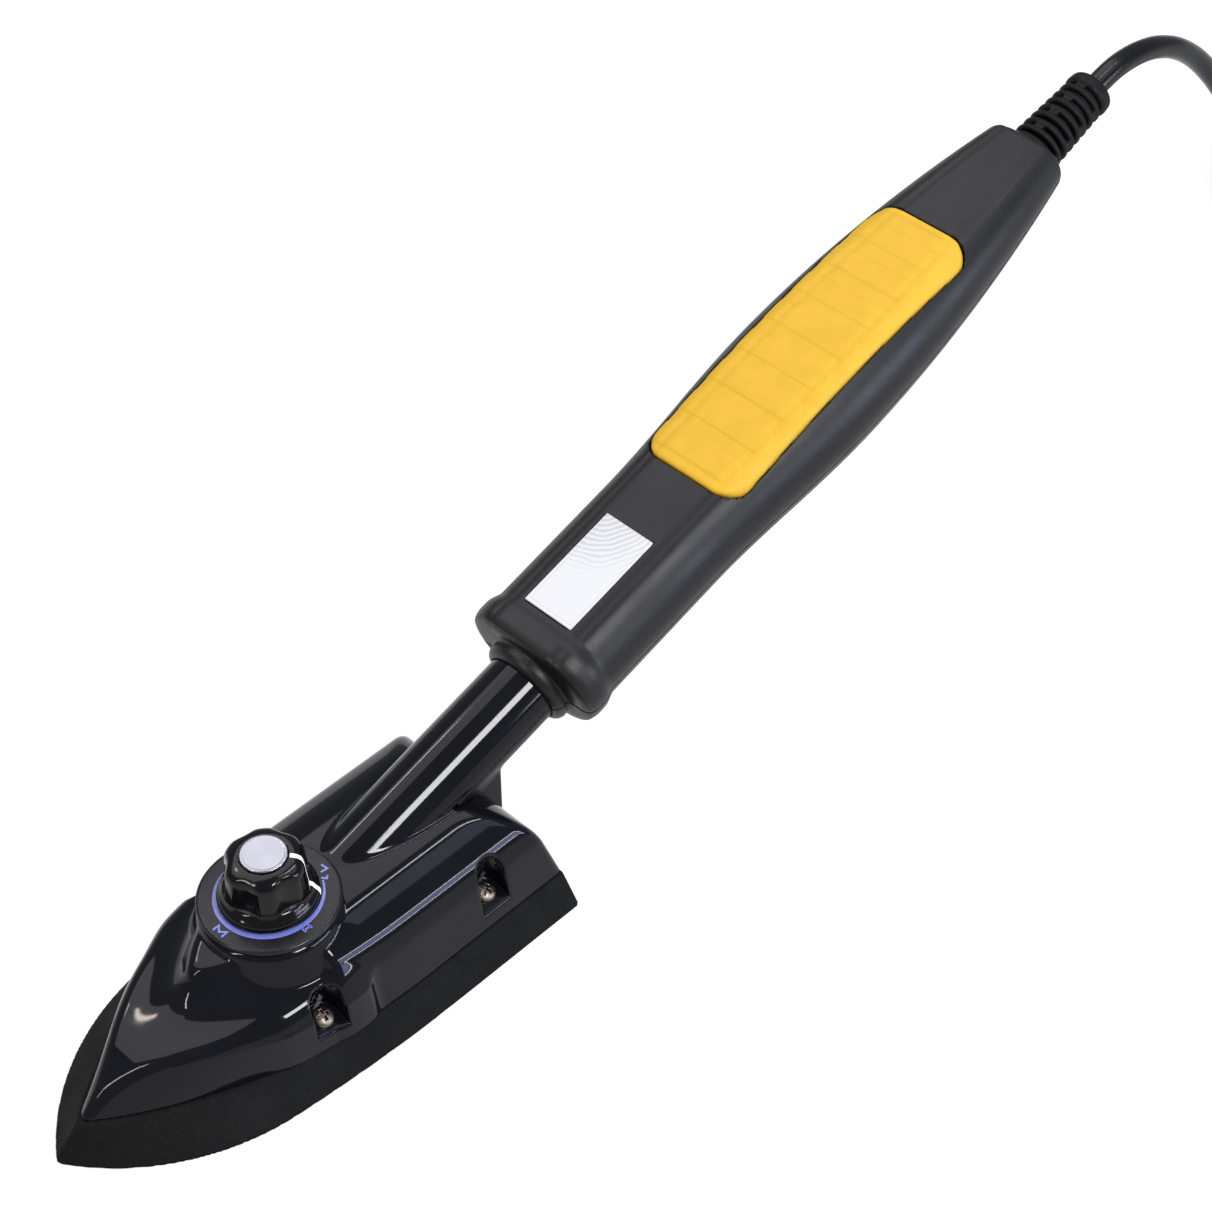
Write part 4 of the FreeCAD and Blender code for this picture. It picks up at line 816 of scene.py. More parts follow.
def cover_field(x, y, z):
    """Cover: a hollow shell with leaning screw pockets and the upper half of the neck."""
    outer = cover_body(x, y, z)
    s, n = along_pole(x, z)
    around = np.hypot(y, n)
    hollow = np.maximum(outer + cover_wall, parting_z - 2 - z)
    body = np.maximum(outer, -hollow)
    for place, side in pocket_places:
        u, v, w = at_pocket(x, y, z, place, side)
        out = np.hypot(u, v)
        wide = np.maximum(out - pocket_radius - pocket_wall, -pocket_seat_depth - w)
        post = np.maximum(np.minimum(wide, out - pocket_post_radius), outer)
        slope = (v * mouth_slope - w - mouth_height) / mouth_slope_length
        mouth = np.maximum.reduce([np.abs(u) - pocket_radius, w, v - mouth_reach, slope, -v - mouth_root])
        body = blend_min(np.minimum(body, post), mouth, 0.5)
    upper = np.maximum(np.minimum(neck_tube(s, around, neck_start), neck_rib(s, around)), seam_gap - n)
    upper = np.maximum(upper, saddle_z - cover_wall - z)
    body = blend_min(body, upper, 0.7)
    body = np.maximum(body, -np.maximum(around - neck_bore, neck_start + 6 - s))
    ahead = web_front_x - web_gap - x
    web_room = np.maximum.reduce([np.abs(y) - web_half_width - web_gap, ahead, n])
    tube_room = np.maximum.reduce([around - neck_radius - web_gap, ahead, n])
    body = np.maximum(body, -np.minimum(web_room, tube_room))
    body = np.maximum(body, -np.maximum(np.hypot(x, y) - spindle_hole_radius, 20 - z))
    for place, side in pocket_places:
        u, v, w = at_pocket(x, y, z, place, side)
        out = np.hypot(u, v)
        well = np.minimum(out - pocket_radius, np.maximum(np.abs(u) - pocket_radius, -v))
        body = blend_max(body, -np.maximum(well, -w), 0.5)
        body = np.maximum(body, screw_hole_radius - out)
    return blend_max(body, parting_z + parting_gap - z, 0.6)


def neck_tube(s, around, start):
    """Outside of the neck's tube, round its axis."""
    return blend_max(np.maximum(around - neck_radius, start - s), s - neck_tail, 0.5)


def neck_rib(s, around):
    """Rib that holds the neck in the handle."""
    return np.maximum(around - neck_rib_radius, between(s, *neck_rib_span))


class IRON_OT_sole(bpy.types.Operator):
    """Sole with its flared flank"""

    bl_idname = "iron.sole"
    bl_label = "Sole"

    def execute(self, context):
        box = ((sole_tip_x - 1, -sole_half_width - 1, -1),
               (sole_rear_x + 1, sole_half_width + 1, parting_z + 1))
        add_skin("sole_skin", sole_field, box, 0.5, "sole_coating", ["sole_plate"])
        return {"FINISHED"}


class IRON_OT_cover(bpy.types.Operator):
    """Glossy head cover with the upper half of the neck"""

    bl_idname = "iron.cover"
    bl_label = "Head cover"

    def execute(self, context):
        box = ((nose_tip_x - 2, -25, parting_z - 1), (93, 25, 58))
        add_skin("cover_skin", cover_field, box, 0.45, "cover_gloss", ["head_cover"])
        return {"FINISHED"}


# Screws

screw_head_height = 1.7
screw_shank_radius = 1.42
screw_rim_round = 0.5
cross_half_width = 0.32
cross_reach = 1.35
cross_narrowing = 0.35
cross_depth = 1.0
cover_screw_head_radius = 2.35
cover_screw_length = 10.2
handle_screw_head_radius = 2.45
handle_screw_length = 11.0
handle_screw_places = ((27.0, 9.0), (131.0, 8.6))
handle_screw_seat = 5.0
seat_gap = 0.02


def screw_field(x, y, z, head_radius, length):
    """Pan head screw on z 0 with a cross recess, pointing down."""
    around = np.hypot(x, y)
    height = screw_head_height
    dome_radius = (head_radius ** 2 + height ** 2) / (2 * height) + 1.2
    dome = np.sqrt(x * x + y * y + (z - height + dome_radius) ** 2) - dome_radius
    head = blend_max(np.maximum(around - head_radius, -z), dome, screw_rim_round)
    body = np.minimum(head, np.maximum(around - screw_shank_radius, between(z, -length, 0.1)))
    arm = cross_reach - np.maximum(height - z, 0) * cross_narrowing
    cross = np.minimum(np.maximum(np.abs(x) - arm, np.abs(y) - cross_half_width),
                       np.maximum(np.abs(y) - arm, np.abs(x) - cross_half_width))
    return blend_max(body, -np.maximum(cross, height - cross_depth - z), 0.15)


def screw_skin(head_radius, length, step):
    """Skin of one screw."""
    low = (-head_radius - 0.5, -head_radius - 0.5, -length - 0.5)
    high = (head_radius + 0.5, head_radius + 0.5, screw_head_height + 0.5)
    return skin(lambda x, y, z: screw_field(x, y, z, head_radius, length), low, high, step)


def moved(form, matrix):
    """A skin turned and moved by a matrix in millimetres."""
    points, faces, normals = form
    turn = np.array(matrix.to_3x3())
    if np.linalg.det(turn) < 0:
        faces = faces[:, ::-1]
    return points @ turn.T + np.array(matrix.translation), faces, normals @ turn.T


class IRON_OT_screws(bpy.types.Operator):
    """Cross slotted screws of the cover and of the handle's underside"""

    bl_idname = "iron.screws"
    bl_label = "Screws"

    def execute(self, context):
        form = screw_skin(cover_screw_head_radius, cover_screw_length, 0.17)
        on_cover = []
        for place, side in pocket_places:
            lean = Matrix.Rotation(-side * pocket_lean, 4, "X")
            spin = Matrix.Rotation(0.5 * side + place * 0.3, 4, "Z")
            spot = Matrix.Translation((place, side * pocket_y, pocket_floor_z + seat_gap))
            on_cover.append(moved(form, spot @ lean @ spin))
        form = screw_skin(handle_screw_head_radius, handle_screw_length, 0.2)
        turn = Matrix.Rotation(-pole_pitch, 4, "Y") @ Matrix.Rotation(math.pi, 4, "X")
        on_handle = []
        for s, out in handle_screw_places:
            for side in (-1, 1):
                spot = (pole_origin + pole_along * s + pole_side * side * out
                        - pole_up * (handle_screw_seat + seat_gap))
                on_handle.append(moved(form, Matrix.Translation(spot) @ turn @ Matrix.Rotation(s, 4, "Z")))
        for name, placed, node in (("cover_screw_heads", on_cover, "cover_screws"),
                                   ("handle_screw_heads", on_handle, "handle_screws")):
            points, faces, normals = join_skins(placed)
            add_piece(name, points, faces, finish_named("screw_steel"), "iron", [node], normals)
        return {"FINISHED"}


# Neck base

def neck_base_field(x, y, z):
    """Lower half of the neck's tube, standing on a hollow web."""
    s, n = along_pole(x, z)
    around = np.hypot(y, n)
    web = rounded_box([between(x, web_front_x, web_rear_x), np.abs(y) - web_half_width,
                       between(z, parting_z + parting_gap, 60)], 0.6)
    body = np.minimum(neck_tube(s, around, neck_base_start), neck_rib(s, around))
    body = blend_min(body, web, 0.8)
    body = blend_max(body, n + seam_gap, 0.25)
    body = np.maximum(body, neck_bore - around)
    inner = np.maximum.reduce([between(x, web_front_x - 2, web_rear_x - web_wall),
                               np.abs(y) - web_half_width + web_wall, n])
    body = np.maximum(body, -inner)
    body = np.maximum(body, web_front_x - x)
    return np.maximum(body, parting_z + parting_gap - z)


class IRON_OT_neck_base(bpy.types.Operator):
    """Dull lower half of the neck with its web"""

    bl_idname = "iron.neck_base"
    bl_label = "Neck base"

    def execute(self, context):
        box = ((web_front_x - 1, -11, parting_z - 1), (94, 11, 48))
        add_skin("neck_base_skin", neck_base_field, box, 0.4, "neck_matt", ["neck_base"])
        return {"FINISHED"}


# Dial and knob

knob_base_z = knob_low.z
knob_top_z = knob_high.z
skirt_radius = knob_high.x + 0.2
knob_radius = 8.1
knob_taper = 0.09
crown_fall = 0.11
skirt_edge = 1.4
skirt_height = 3.1
flute_count = 6
flute_phase = math.radians(21)
flute_radius = 4.2
flute_depth = 0.8
flute_round = 1.2
crown_round = 1.1
skirt_wall = 1.4
foot_depth = 1.2
bush_radius = 3.9
bush_depth = 8.0
cap_radius = cap_high.x
cap_gap = 0.05
pointer_angle = math.radians(-47)
pointer_half_width = 0.5
ink_height = 0.05
ink_root = 0.12


def knob_form(x, y, z):
    """Outside of the knob: a lobed grip over a sloping skirt."""
    around = np.hypot(x, y)
    up = z - knob_base_z
    side_radius = knob_radius + (knob_top_z - z) * knob_taper
    crown = (z - knob_top_z + crown_fall * np.maximum(around - cap_radius - 0.1, 0) ** 2) / 1.1
    grip = blend_max(around - side_radius, crown, crown_round)
    for i in range(flute_count):
        angle = 2 * math.pi * i / flute_count + flute_phase
        reach = side_radius - flute_depth + flute_radius
        flute = np.hypot(x - reach * math.cos(angle), y - reach * math.sin(angle)) - flute_radius
        flute = np.maximum(flute, skirt_height + 0.3 - up)
        grip = blend_max(grip, -flute, flute_round)
    slope = (around - skirt_radius + up - skirt_edge) / math.sqrt(2)
    skirt = blend_max(np.maximum(around - skirt_radius, -up), slope, 0.6)
    skirt = blend_max(skirt, up - skirt_height, 0.5)
    return blend_min(skirt, grip, 0.7)


def knob_field(x, y, z):
    """Knob with its hollow foot, the bore of its bush and the seat of its cap."""
    around = np.hypot(x, y)
    body = blend_max(knob_form(x, y, z), knob_base_z - z, 0.3)
    body = np.maximum(body, -np.maximum(around - skirt_radius + skirt_wall, z - knob_base_z - foot_depth))
    body = np.maximum(body, -np.maximum(around - bush_radius - seat_gap, z - knob_base_z - bush_depth))
    return np.maximum(body, -np.maximum(around - cap_radius - cap_gap, cap_low.z - z))


def pointer_field(x, y, z):
    """Painted line on the knob: a thin layer over its surface in one direction."""
    along = x * math.cos(pointer_angle) + y * math.sin(pointer_angle)
    across = -x * math.sin(pointer_angle) + y * math.cos(pointer_angle)
    form = knob_form(x, y, z)
    layer = np.maximum(form - ink_height, -form - ink_root)
    return np.maximum.reduce([layer, np.abs(across) - pointer_half_width, cap_radius + 0.3 - along,
                              knob_base_z + 0.3 - z])


# Ring round the dial: its outer radius, and its inner radius at angles in degrees
ring_outer = 11.05
ring_inner = ((-26, 10.72), (-49, 10.43), (-69, 10.2), (-94, 9.95), (-112, 9.7), (-137, 9.6), (-195, 9.58),
              (-219, 9.55), (-232, 9.95), (-244, 10.42), (-259, 11.0))


def ring_band(steps, z):
    """Flat band round the dial's axis that thins towards both of its ends."""
    angles = [-angle for angle, _ in ring_inner]
    radii = [radius for _, radius in ring_inner]
    points = []
    for angle in np.linspace(angles[0], angles[-1], steps + 1):
        turn = -math.radians(angle)
        for radius in (np.interp(angle, angles, radii), ring_outer):
            points.append((radius * math.cos(turn), radius * math.sin(turn), z))
    return points


def slab(top_points, faces, thickness):
    """Close a flat patch into a thin plate by a copy below it and walls along its rim."""
    count = len(top_points)
    points = [tuple(p) for p in top_points] + [(x, y, z - thickness) for x, y, z in top_points]
    rims = {}
    for face in faces:
        for a, b in zip(face, face[1:] + face[:1]):
            if (b, a) in rims:
                del rims[(b, a)]
            else:
                rims[(a, b)] = True
    closed = list(faces) + [tuple(i + count for i in reversed(f)) for f in faces]
    closed += [(b, a, a + count, b + count) for a, b in rims]
    return points, closed


def stroke(points, width):
    """Flat ribbon along a line in the dial's plane."""
    made = []
    for i, point in enumerate(points):
        before = Vector(points[max(i - 1, 0)])
        after = Vector(points[min(i + 1, len(points) - 1)])
        way = (after - before).normalized()
        side = Vector((-way.y, way.x)) * width / 2
        if 0 < i < len(points) - 1:
            turn = (Vector(point) - before).angle_signed(after - Vector(point))
            side = side / max(0.5, math.cos(turn / 2))
        made.append(Vector(point) - side)
        made.append(Vector(point) + side)
    faces = [(2 * i, 2 * i + 2, 2 * i + 3, 2 * i + 1) for i in range(len(points) - 1)]
    return made, faces


# Strokes of the dial's plain letters, each as (radius, angle in degrees) round the dial's axis
stroke_width = 0.44
dial_strokes = (
    ((12.25, -7.6), (12.75, -14.6), (11.2, -15.6)),
    ((10.75, -22.6), (11.75, -25.6), (12.1, -22.2)),
    ((11.2, -95.6), (12.25, -94.9)),
    ((11.2, -88.2), (12.25, -87.8)),
    ((11.72, -95.2), (11.72, -88.0)),
    ((13.3, 175.4), (11.75, 174.6), (12.75, -179.4), (11.75, -173.4), (13.3, -173.8)),
)


def mark_patches(z):
    """Ring and plain letters round the dial, as flat patches."""
    steps = 120
    patches = [(ring_band(steps, z), [(2 * i, 2 * i + 1, 2 * i + 3, 2 * i + 2) for i in range(steps)])]
    for line in dial_strokes:
        corners = [Vector((radius * math.cos(math.radians(angle)), radius * math.sin(math.radians(angle))))
                   for radius, angle in line]
        points, faces = stroke(corners, stroke_width)
        patches.append(([(p.x, p.y, z) for p in points], faces))
    return patches


class IRON_OT_dial(bpy.types.Operator):
    """Dial plate with its printed ring and marks"""

    bl_idname = "iron.dial"
    bl_label = "Dial"

    def execute(self, context):
        rim = dial_radius
        low = dial_low.z
        profile = [(spindle_hole_radius, low), (rim - 0.35, low), (rim - 0.05, low + 0.12), (rim, low + 0.4),
                   (rim - 0.02, dial_z - 0.45), (rim - 0.16, dial_z - 0.2), (rim - 0.45, dial_z - 0.04),
                   (rim - 0.8, dial_z), (spindle_hole_radius, dial_z)]
        steps = 144
        points, faces = lathe(profile, steps)
        faces = faces[:-2]
        last = (len(profile) - 1) * steps
        faces += [(last + i, last + (i + 1) % steps, (i + 1) % steps, i) for i in range(steps)]
        plate = add_piece("dial_face", points, faces, finish_named("dial_gloss"), "iron", ["dial_plate"])
        plate.data.set_sharp_from_angle(angle=math.radians(35))
        points = []
        faces = []
        for patch, quads in mark_patches(dial_z + ink_height):
            flat = [Vector(p) for p in patch]
            first = quads[0]
            normal = (flat[first[1]] - flat[first[0]]).cross(flat[first[2]] - flat[first[0]])
            if normal.z < 0:
                quads = [tuple(reversed(q)) for q in quads]
            solid_points, solid_faces = slab(patch, quads, 2 * ink_height)
            faces += [tuple(i + len(points) for i in f) for f in solid_faces]
            points += solid_points
        marks = add_piece("dial_marks", points, faces, finish_named("dial_ink"), "iron")
        marks.data.set_sharp_from_angle(angle=math.radians(35))
        return {"FINISHED"}


class IRON_OT_knob(bpy.types.Operator):
    """Lobed knob with its pointer line and spun cap"""

    bl_idname = "iron.knob"
    bl_label = "Knob"

    def execute(self, context):
        edge = skirt_radius + 0.6
        box = ((-edge, -edge, knob_base_z - 0.6), (edge, edge, knob_top_z + 0.6))
        add_skin("knob_skin", knob_field, box, 0.25, "knob_gloss", ["knob_body"], "knob")
        points, faces, _ = skin(pointer_field, *box, 0.11)
        add_piece("knob_pointer", points, faces, finish_named("pointer_ink"), "knob")
        top = cap_high.z
        profile = [(cap_radius - 0.05, cap_low.z + 0.02), (cap_radius, cap_low.z + 0.1)]
        profile += [(cap_radius - inset, top - fall) for inset, fall in (
            (0, 0.22), (0.07, 0.07), (0.22, 0), (0.5, 0), (0.62, 0.05), (0.75, 0.05))]
        profile += [(cap_radius - 0.75 - 0.5 * i, top - 0.05) for i in range(1, 8)]
        points, faces = lathe(profile, 96)
        cap = add_piece("knob_cap_disc", points, faces, finish_named("spun_cap"), "knob", ["knob_cap"])
        cap.data.set_sharp_from_angle(angle=math.radians(40))
        return {"FINISHED"}


# Handle

# Sizes along the pole start at its origin, and those across it at its axis.
# Each size of the section is its value at the waist, what the swell adds and what the taper takes off.
handle_length = 161.0
handle_width = (15.8, 2.6, 8.6)
handle_top = (12.7, 0.9, 5.2)
handle_depth = (10.0, 1.4, 5.0)
facet_width = (8.6, 0.0, 4.0)
taper_power = 1.9
handle_wall = 4.0
lower_wall = 2.2
hollow_start = 17.0
hollow_end = handle_length - 15.0
waist_s = 35.0
grip_s = 84.0
collar_start = -8.0
collar_radius = 8.4
collar_round = 2.0
flange_proud = 0.95
flange_round = 3.2
flange_start = -4.6
flange_end = 2.8
pad_start = 46.5
pad_end = handle_length - 34.2
pad_half_width = 13.0
pad_corner = 6.0
pad_depth = 1.5
tongue_pitch = 9.45
tongue_count = 8
first_tongue = pad_start + 5.6
tongue_end = -8.2
tongue_radius = 2.9
plate_start = 4.2
plate_length = 25.6
plate_half_width = 6.6
plate_proud = 0.1
plate_thickness = 0.5
plate_rim = 0.7
facet_line_depth = 0.16
pad_bed_gap = 0.28
pad_bed_depth = 1.6
fit_gap = 0.15
half_gap = 0.04
socket_gap = 0.1
sleeve_root = handle_length - 9.0
sleeve_root_length = 3.0
sleeve_root_radius = 6.0
sleeve_core_radius = 4.3
screw_post_radius = 4.4
screw_well_radius = 2.8


def handle_sizes(s):
    """Half width, top, depth and facet half width of the handle along the pole."""
    swell = (1 - np.cos(math.pi * np.clip((s - waist_s) / (grip_s - waist_s), 0, 1))) / 2
    fade = np.clip((s - grip_s) / (handle_length - grip_s), 0, 1.05) ** taper_power
    return [waist + more * swell - less * fade
            for waist, more, less in (handle_width, handle_top, handle_depth, facet_width)]


def handle_section(s, y, n):
    """Rounded outline of the handle at each place along it."""
    width, top, depth, facet = handle_sizes(s)
    out = np.abs(y)
    arc_y, arc_n, radius = circle_through(width, 0, facet + (width - facet) * 0.8, top * 0.66, facet, top)
    upper = blend_max(np.hypot(np.maximum(out - arc_y, 0), n - arc_n) - radius, n - top, 1.1)
    upper = upper + facet_line_depth * np.exp(-((out - facet - 0.3) / 0.9) ** 2)
    arc_y, arc_n, radius = circle_through(width, 0, width * 0.76, -depth * 0.68, 0, -depth)
    lower = np.hypot(np.maximum(out - arc_y, 0), n - arc_n) - radius
    return np.where(n > 0, upper, lower)


def handle_outer(s, y, n):
    """Handle with its flange and collar, before the halves are parted."""
    around = np.hypot(y, n)
    body = handle_section(s, y, n)
    shell = blend_max(body, s - handle_length, 2.0)
    shell = blend_max(shell, flange_start + 1.0 - s, 0.5)
    front = handle_section(0 * s, y, n)
    flange = blend_max(front - flange_proud, between(s, flange_start, flange_end), flange_round)
    shell = blend_min(shell, flange, 1.2)
    ring = np.hypot(np.maximum(around - collar_radius, 0), s - collar_start - collar_round) - collar_round
    core = np.maximum(around - collar_radius - 1.0, between(s, collar_start + 0.6, flange_start + 1))
    return blend_min(shell, np.minimum(ring, core), 1.3)


def pad_plan(s, y, gap):
    """Rounded rectangle of the grip pad in plan."""
    half = (pad_end - pad_start) / 2 + gap
    u = np.abs(s - (pad_start + pad_end) / 2) - half + pad_corner
    v = np.abs(y) - pad_half_width - gap + pad_corner
    return np.hypot(np.maximum(u, 0), np.maximum(v, 0)) + np.minimum(np.maximum(u, v), 0) - pad_corner


def socket_field(s, y, n):
    """Rooms inside the handle's ends for the neck and for the sleeve."""
    around = np.hypot(y, n)
    rib_start, rib_end = neck_rib_span
    neck = np.minimum(np.maximum(around - neck_radius - socket_gap, s - 18),
                      np.maximum(around - neck_rib_radius - socket_gap,
                                 between(s, rib_start - socket_gap, rib_end + socket_gap)))
    root_end = sleeve_root + sleeve_root_length
    sleeve = np.minimum(np.maximum(around - sleeve_core_radius - 2 * socket_gap, sleeve_root - 1 - s),
                        np.maximum(around - sleeve_root_radius - socket_gap,
                                   between(s, sleeve_root - socket_gap, root_end + socket_gap)))
    way = np.maximum(around - 3.2, between(s, sleeve_root - 7, sleeve_root + 1))
    return np.minimum(np.minimum(neck, sleeve), way)


def upper_field(s, y, n):
    """Upper half of the handle, with the bed of its pad and the seat of its plate."""
    outer = handle_outer(s, y, n)
    section = handle_section(s, y, n)
    hollow = np.maximum(section + handle_wall, between(s, hollow_start, hollow_end))
    body = np.maximum(outer, -hollow)
    bed = np.maximum(pad_plan(s, y, pad_bed_gap), -(section + pad_bed_depth))
    body = blend_max(body, -np.maximum(bed, 2 - n), 0.25)
    top = handle_sizes(s)[1]
    seat = rounded_box([between(s, plate_start - fit_gap, plate_start + plate_length + fit_gap),
                        np.abs(y) - plate_half_width - fit_gap, top - 0.42 - n], 0.1)
    body = blend_max(body, -seat, 0.2)
    body = np.maximum(body, -socket_field(s, y, n))
    return blend_max(body, half_gap - n, 0.4)


def lower_field(s, y, n):
    """Lower half of the handle, with the posts and wells of its screws."""
    outer = handle_outer(s, y, n)
    section = handle_section(s, y, n)
    hollow = np.maximum(section + lower_wall, between(s, hollow_start, hollow_end))
    body = np.maximum(outer, -hollow)
    for place, out in handle_screw_places:
        around = np.hypot(s - place, np.abs(y) - out)
        body = np.minimum(body, np.maximum(around - screw_post_radius, outer))
        body = blend_max(body, -np.maximum(around - screw_well_radius, n + handle_screw_seat), 0.4)
        body = np.maximum(body, screw_hole_radius - around)
    body = np.maximum(body, -socket_field(s, y, n))
    return blend_max(body, n + half_gap, 0.4)


def tongue_relief(s, y):
    """Height of the moulded tongues that cross the pad from its left edge."""
    index = np.clip(np.round((s - first_tongue) / tongue_pitch), 0, tongue_count)
    centre = first_tongue + index * tongue_pitch
    end = tongue_end + 1.2 * ease(np.abs(centre - 86.0), 20, 44)
    reach = np.maximum(end - y, 0)
    distance = np.hypot(s - centre, reach) - tongue_radius
    return 1 - ease(distance, -0.45, 0.35)


def pad_field(s, y, n):
    """Soft pad, a little proud of the handle, with its tongues."""
    size = sizes()
    section = handle_section(s, y, n)
    lift = size.grip_proud / MM + size.tongue_step / MM * tongue_relief(s, y)
    body = blend_max(section - lift, pad_plan(s, y, 0), 1.1)
    return np.maximum(np.maximum(body, -(section + pad_depth)), 2 - n)


class IRON_OT_handle(bpy.types.Operator):
    """Two grained handle halves and the soft pad between them"""

    bl_idname = "iron.handle"
    bl_label = "Handle"

    def execute(self, context):
        start = collar_start - 1
        end = handle_length + 1
        upper_box = ((start, -21, -0.6), (end, 21, 16))
        lower_box = ((start, -21, -14), (end, 21, 0.6))
        pad_box = ((pad_start - 1, -15, 3), (pad_end + 1, 15, 16))
        for name, field, box, step, finish, node, slot in (
                ("handle_top_skin", upper_field, upper_box, 0.55, "handle_grain", "handle_upper",
                 "handle_black"),
                ("handle_bottom_skin", lower_field, lower_box, 0.55, "handle_grain", "handle_lower",
                 "handle_black"),
                ("pad_skin", pad_field, pad_box, 0.42, "pad_rubber", "grip_pad", "pad_yellow")):
            add_skin(name, field, box, step, finish, [node], on_pole=True)
        return {"FINISHED"}


def plate_field(s, y, n):
    """Flat plate with a fine line pressed inside its rim."""
    top = handle_top[0] + plate_proud
    body = rounded_box([between(s, plate_start, plate_start + plate_length), np.abs(y) - plate_half_width,
                        between(n, top - plate_thickness, top)], 0.18)
    rim = np.maximum(between(s, plate_start + plate_rim, plate_start + plate_length - plate_rim),
                     np.abs(y) - plate_half_width + plate_rim)
    return body + 0.05 * (1 - ease(np.abs(rim), 0.05, 0.2))


class IRON_OT_name_plate(bpy.types.Operator):
    """Bare name plate in its seat"""

    bl_idname = "iron.name_plate"
    bl_label = "Name plate"

    def execute(self, context):
        box = ((plate_start - 0.6, -plate_half_width - 0.6, 12.0),
               (plate_start + plate_length + 0.6, plate_half_width + 0.6, 13.2))
        add_skin("name_plate_face", plate_field, box, 0.15, "label_face", ["name_plate"],
                 on_pole=True)
        return {"FINISHED"}


# Sleeve, cord, tie and plug

sleeve_end = handle_length + 23.5
ring_count = 8
first_ring_radius = 6.4
ring_taper = 1.0
ring_half = 0.72
tab_half_width = 1.1
tip_radius = 5.75
sleeve_tip_length = 3.4
sleeve_bore = 2.82


def sleeve_field(s, y, n):
    """Ribbed sleeve: rings bridged by staggered tabs on a core, with a thick end ring."""
    around = np.hypot(y, n)
    start = handle_length + 0.2
    tip_s = sleeve_end - sleeve_tip_length
    pitch = (tip_s - start) / ring_count
    body = np.maximum(around - sleeve_core_radius, between(s, sleeve_root, sleeve_end - 0.5))
    root = np.maximum(around - sleeve_root_radius, between(s, sleeve_root, sleeve_root + sleeve_root_length))
    body = np.minimum(body, root)
    for i in range(ring_count):
        radius = first_ring_radius - ring_taper * i / ring_count
        middle = start + (i + 0.3) * pitch
        ring = blend_max(around - radius, between(s, middle - ring_half, middle + ring_half), 0.7)
        across, rise = (y, n) if i % 2 else (n, y)
        tab = np.maximum.reduce([np.abs(across) - tab_half_width, np.abs(rise) - radius + 0.35,
                                 between(s, middle, middle + pitch)])
        body = blend_min(body, np.minimum(ring, tab), 0.35)
    tip = blend_max(around - tip_radius + (s - tip_s) * 0.1, between(s, tip_s - 0.2, sleeve_end), 1.3)
    body = blend_min(body, tip, 0.4)
    return blend_max(body, sleeve_bore - around, 0.4)


class IRON_OT_sleeve(bpy.types.Operator):
    """Ribbed sleeve where the cord leaves the handle"""

    bl_idname = "iron.sleeve"
    bl_label = "Sleeve"

    def execute(self, context):
        box = ((sleeve_root - 0.6, -7.2, -7.2), (sleeve_end + 0.6, 7.2, 7.2))
        add_skin("sleeve_skin", sleeve_field, box, 0.24, "sleeve_rubber", ["strain_relief"],
                 on_pole=True)
        return {"FINISHED"}


coil_pitch = 6.0
coil_layer_pitch = 6.0
coil_outer_radius = 25.5
coil_turn_halves = 3
coil_layer_pairs = 2
coil_straight = 22.0
coil_centre_y = -6.5
coil_floor = 1.4
coil_reach = 135.3


def cord_mouth():
    """Place where the cord leaves the sleeve, in millimetres."""
    return Vector(pole_origin + pole_along * sleeve_end)


def cord_points():
    """Route of the free cord from given points, then its coil's turns by formula, in millimetres."""
    mouth = cord_mouth()
    radius = sizes().cord_diameter / MM / 2
    centre = Vector((mouth.x + coil_reach, coil_centre_y, 0))
    top_z = coil_floor + radius + (2 * coil_layer_pairs - 1) * coil_layer_pitch
    landing = centre + Vector((-coil_straight / 2, -coil_outer_radius, top_z))
    route = [mouth, mouth + Vector(pole_along) * 5.4]
    route += [mouth + Vector(step) for step in (
        (10.6, -0.1, 2.4), (16.9, -0.3, 2.15), (23.9, -0.6, 0.5), (31.9, -1.2, -3.3), (40.3, -2.2, -10.0),
        (48.9, -4.2, -20.4), (57.0, -7.6, -34.0), (65.4, -13.0, -48.0), (75.6, -20.2, -60.6),
        (88.6, -27.4, -70.0))]
    route += [landing - Vector((18, 0, 0)), landing - Vector((5.4, 0, 0))]
    return route + [centre + Vector((-v, u, z)) for u, v, z in coil_points(top_z)]


def coil_turns(top_z):
    """Centre, radius, height and drop of each half turn: inwards, down a layer, outwards, and again."""
    half_step = coil_pitch / 2
    inner = coil_outer_radius - coil_turn_halves * half_step
    turns = []
    z = top_z
    for pair in range(coil_layer_pairs):
        for i in range(coil_turn_halves):
            turns.append((half_step * (i % 2), coil_outer_radius - i * half_step, z, 0))
        turns.append((half_step * (coil_turn_halves % 2), inner, z, coil_layer_pitch))
        z -= coil_layer_pitch
        for i in range(1, coil_turn_halves + 1):
            turns.append((half_step * (1 + i % 2), inner + i * half_step, z, 0))
        turns.append((half_step, coil_outer_radius + half_step, z, coil_layer_pitch))
        z -= coil_layer_pitch
    return turns[:-2]


def coil_points(top_z):
    """Control points of the long coil, across and along it, and of its end that runs out to the plug."""
    per_half = 8
    swell = 1 / math.cos(math.pi / per_half / 2)
    half = coil_straight / 2
    sign = -1
    points = []
    for centre, radius, z, drop in coil_turns(top_z):
        points.append((centre + sign * radius, sign * half, z))
        for k in range(per_half):
            share = (k + 0.5) / per_half
            angle = math.pi * share
            fall = drop * share * share * (3 - 2 * share)
            points.append((centre + sign * radius * swell * math.cos(angle),
                           sign * half + sign * radius * swell * math.sin(angle), z - fall))
        u = centre - sign * radius
        z -= drop
        points.append((u, sign * half, z))
        sign = -sign
    end = -half - 22
    return points + [(u, end, z), (u, end - 12, z), (u + 4, end - 28, z + 6), (u + 4, end - 40, z + 6)]


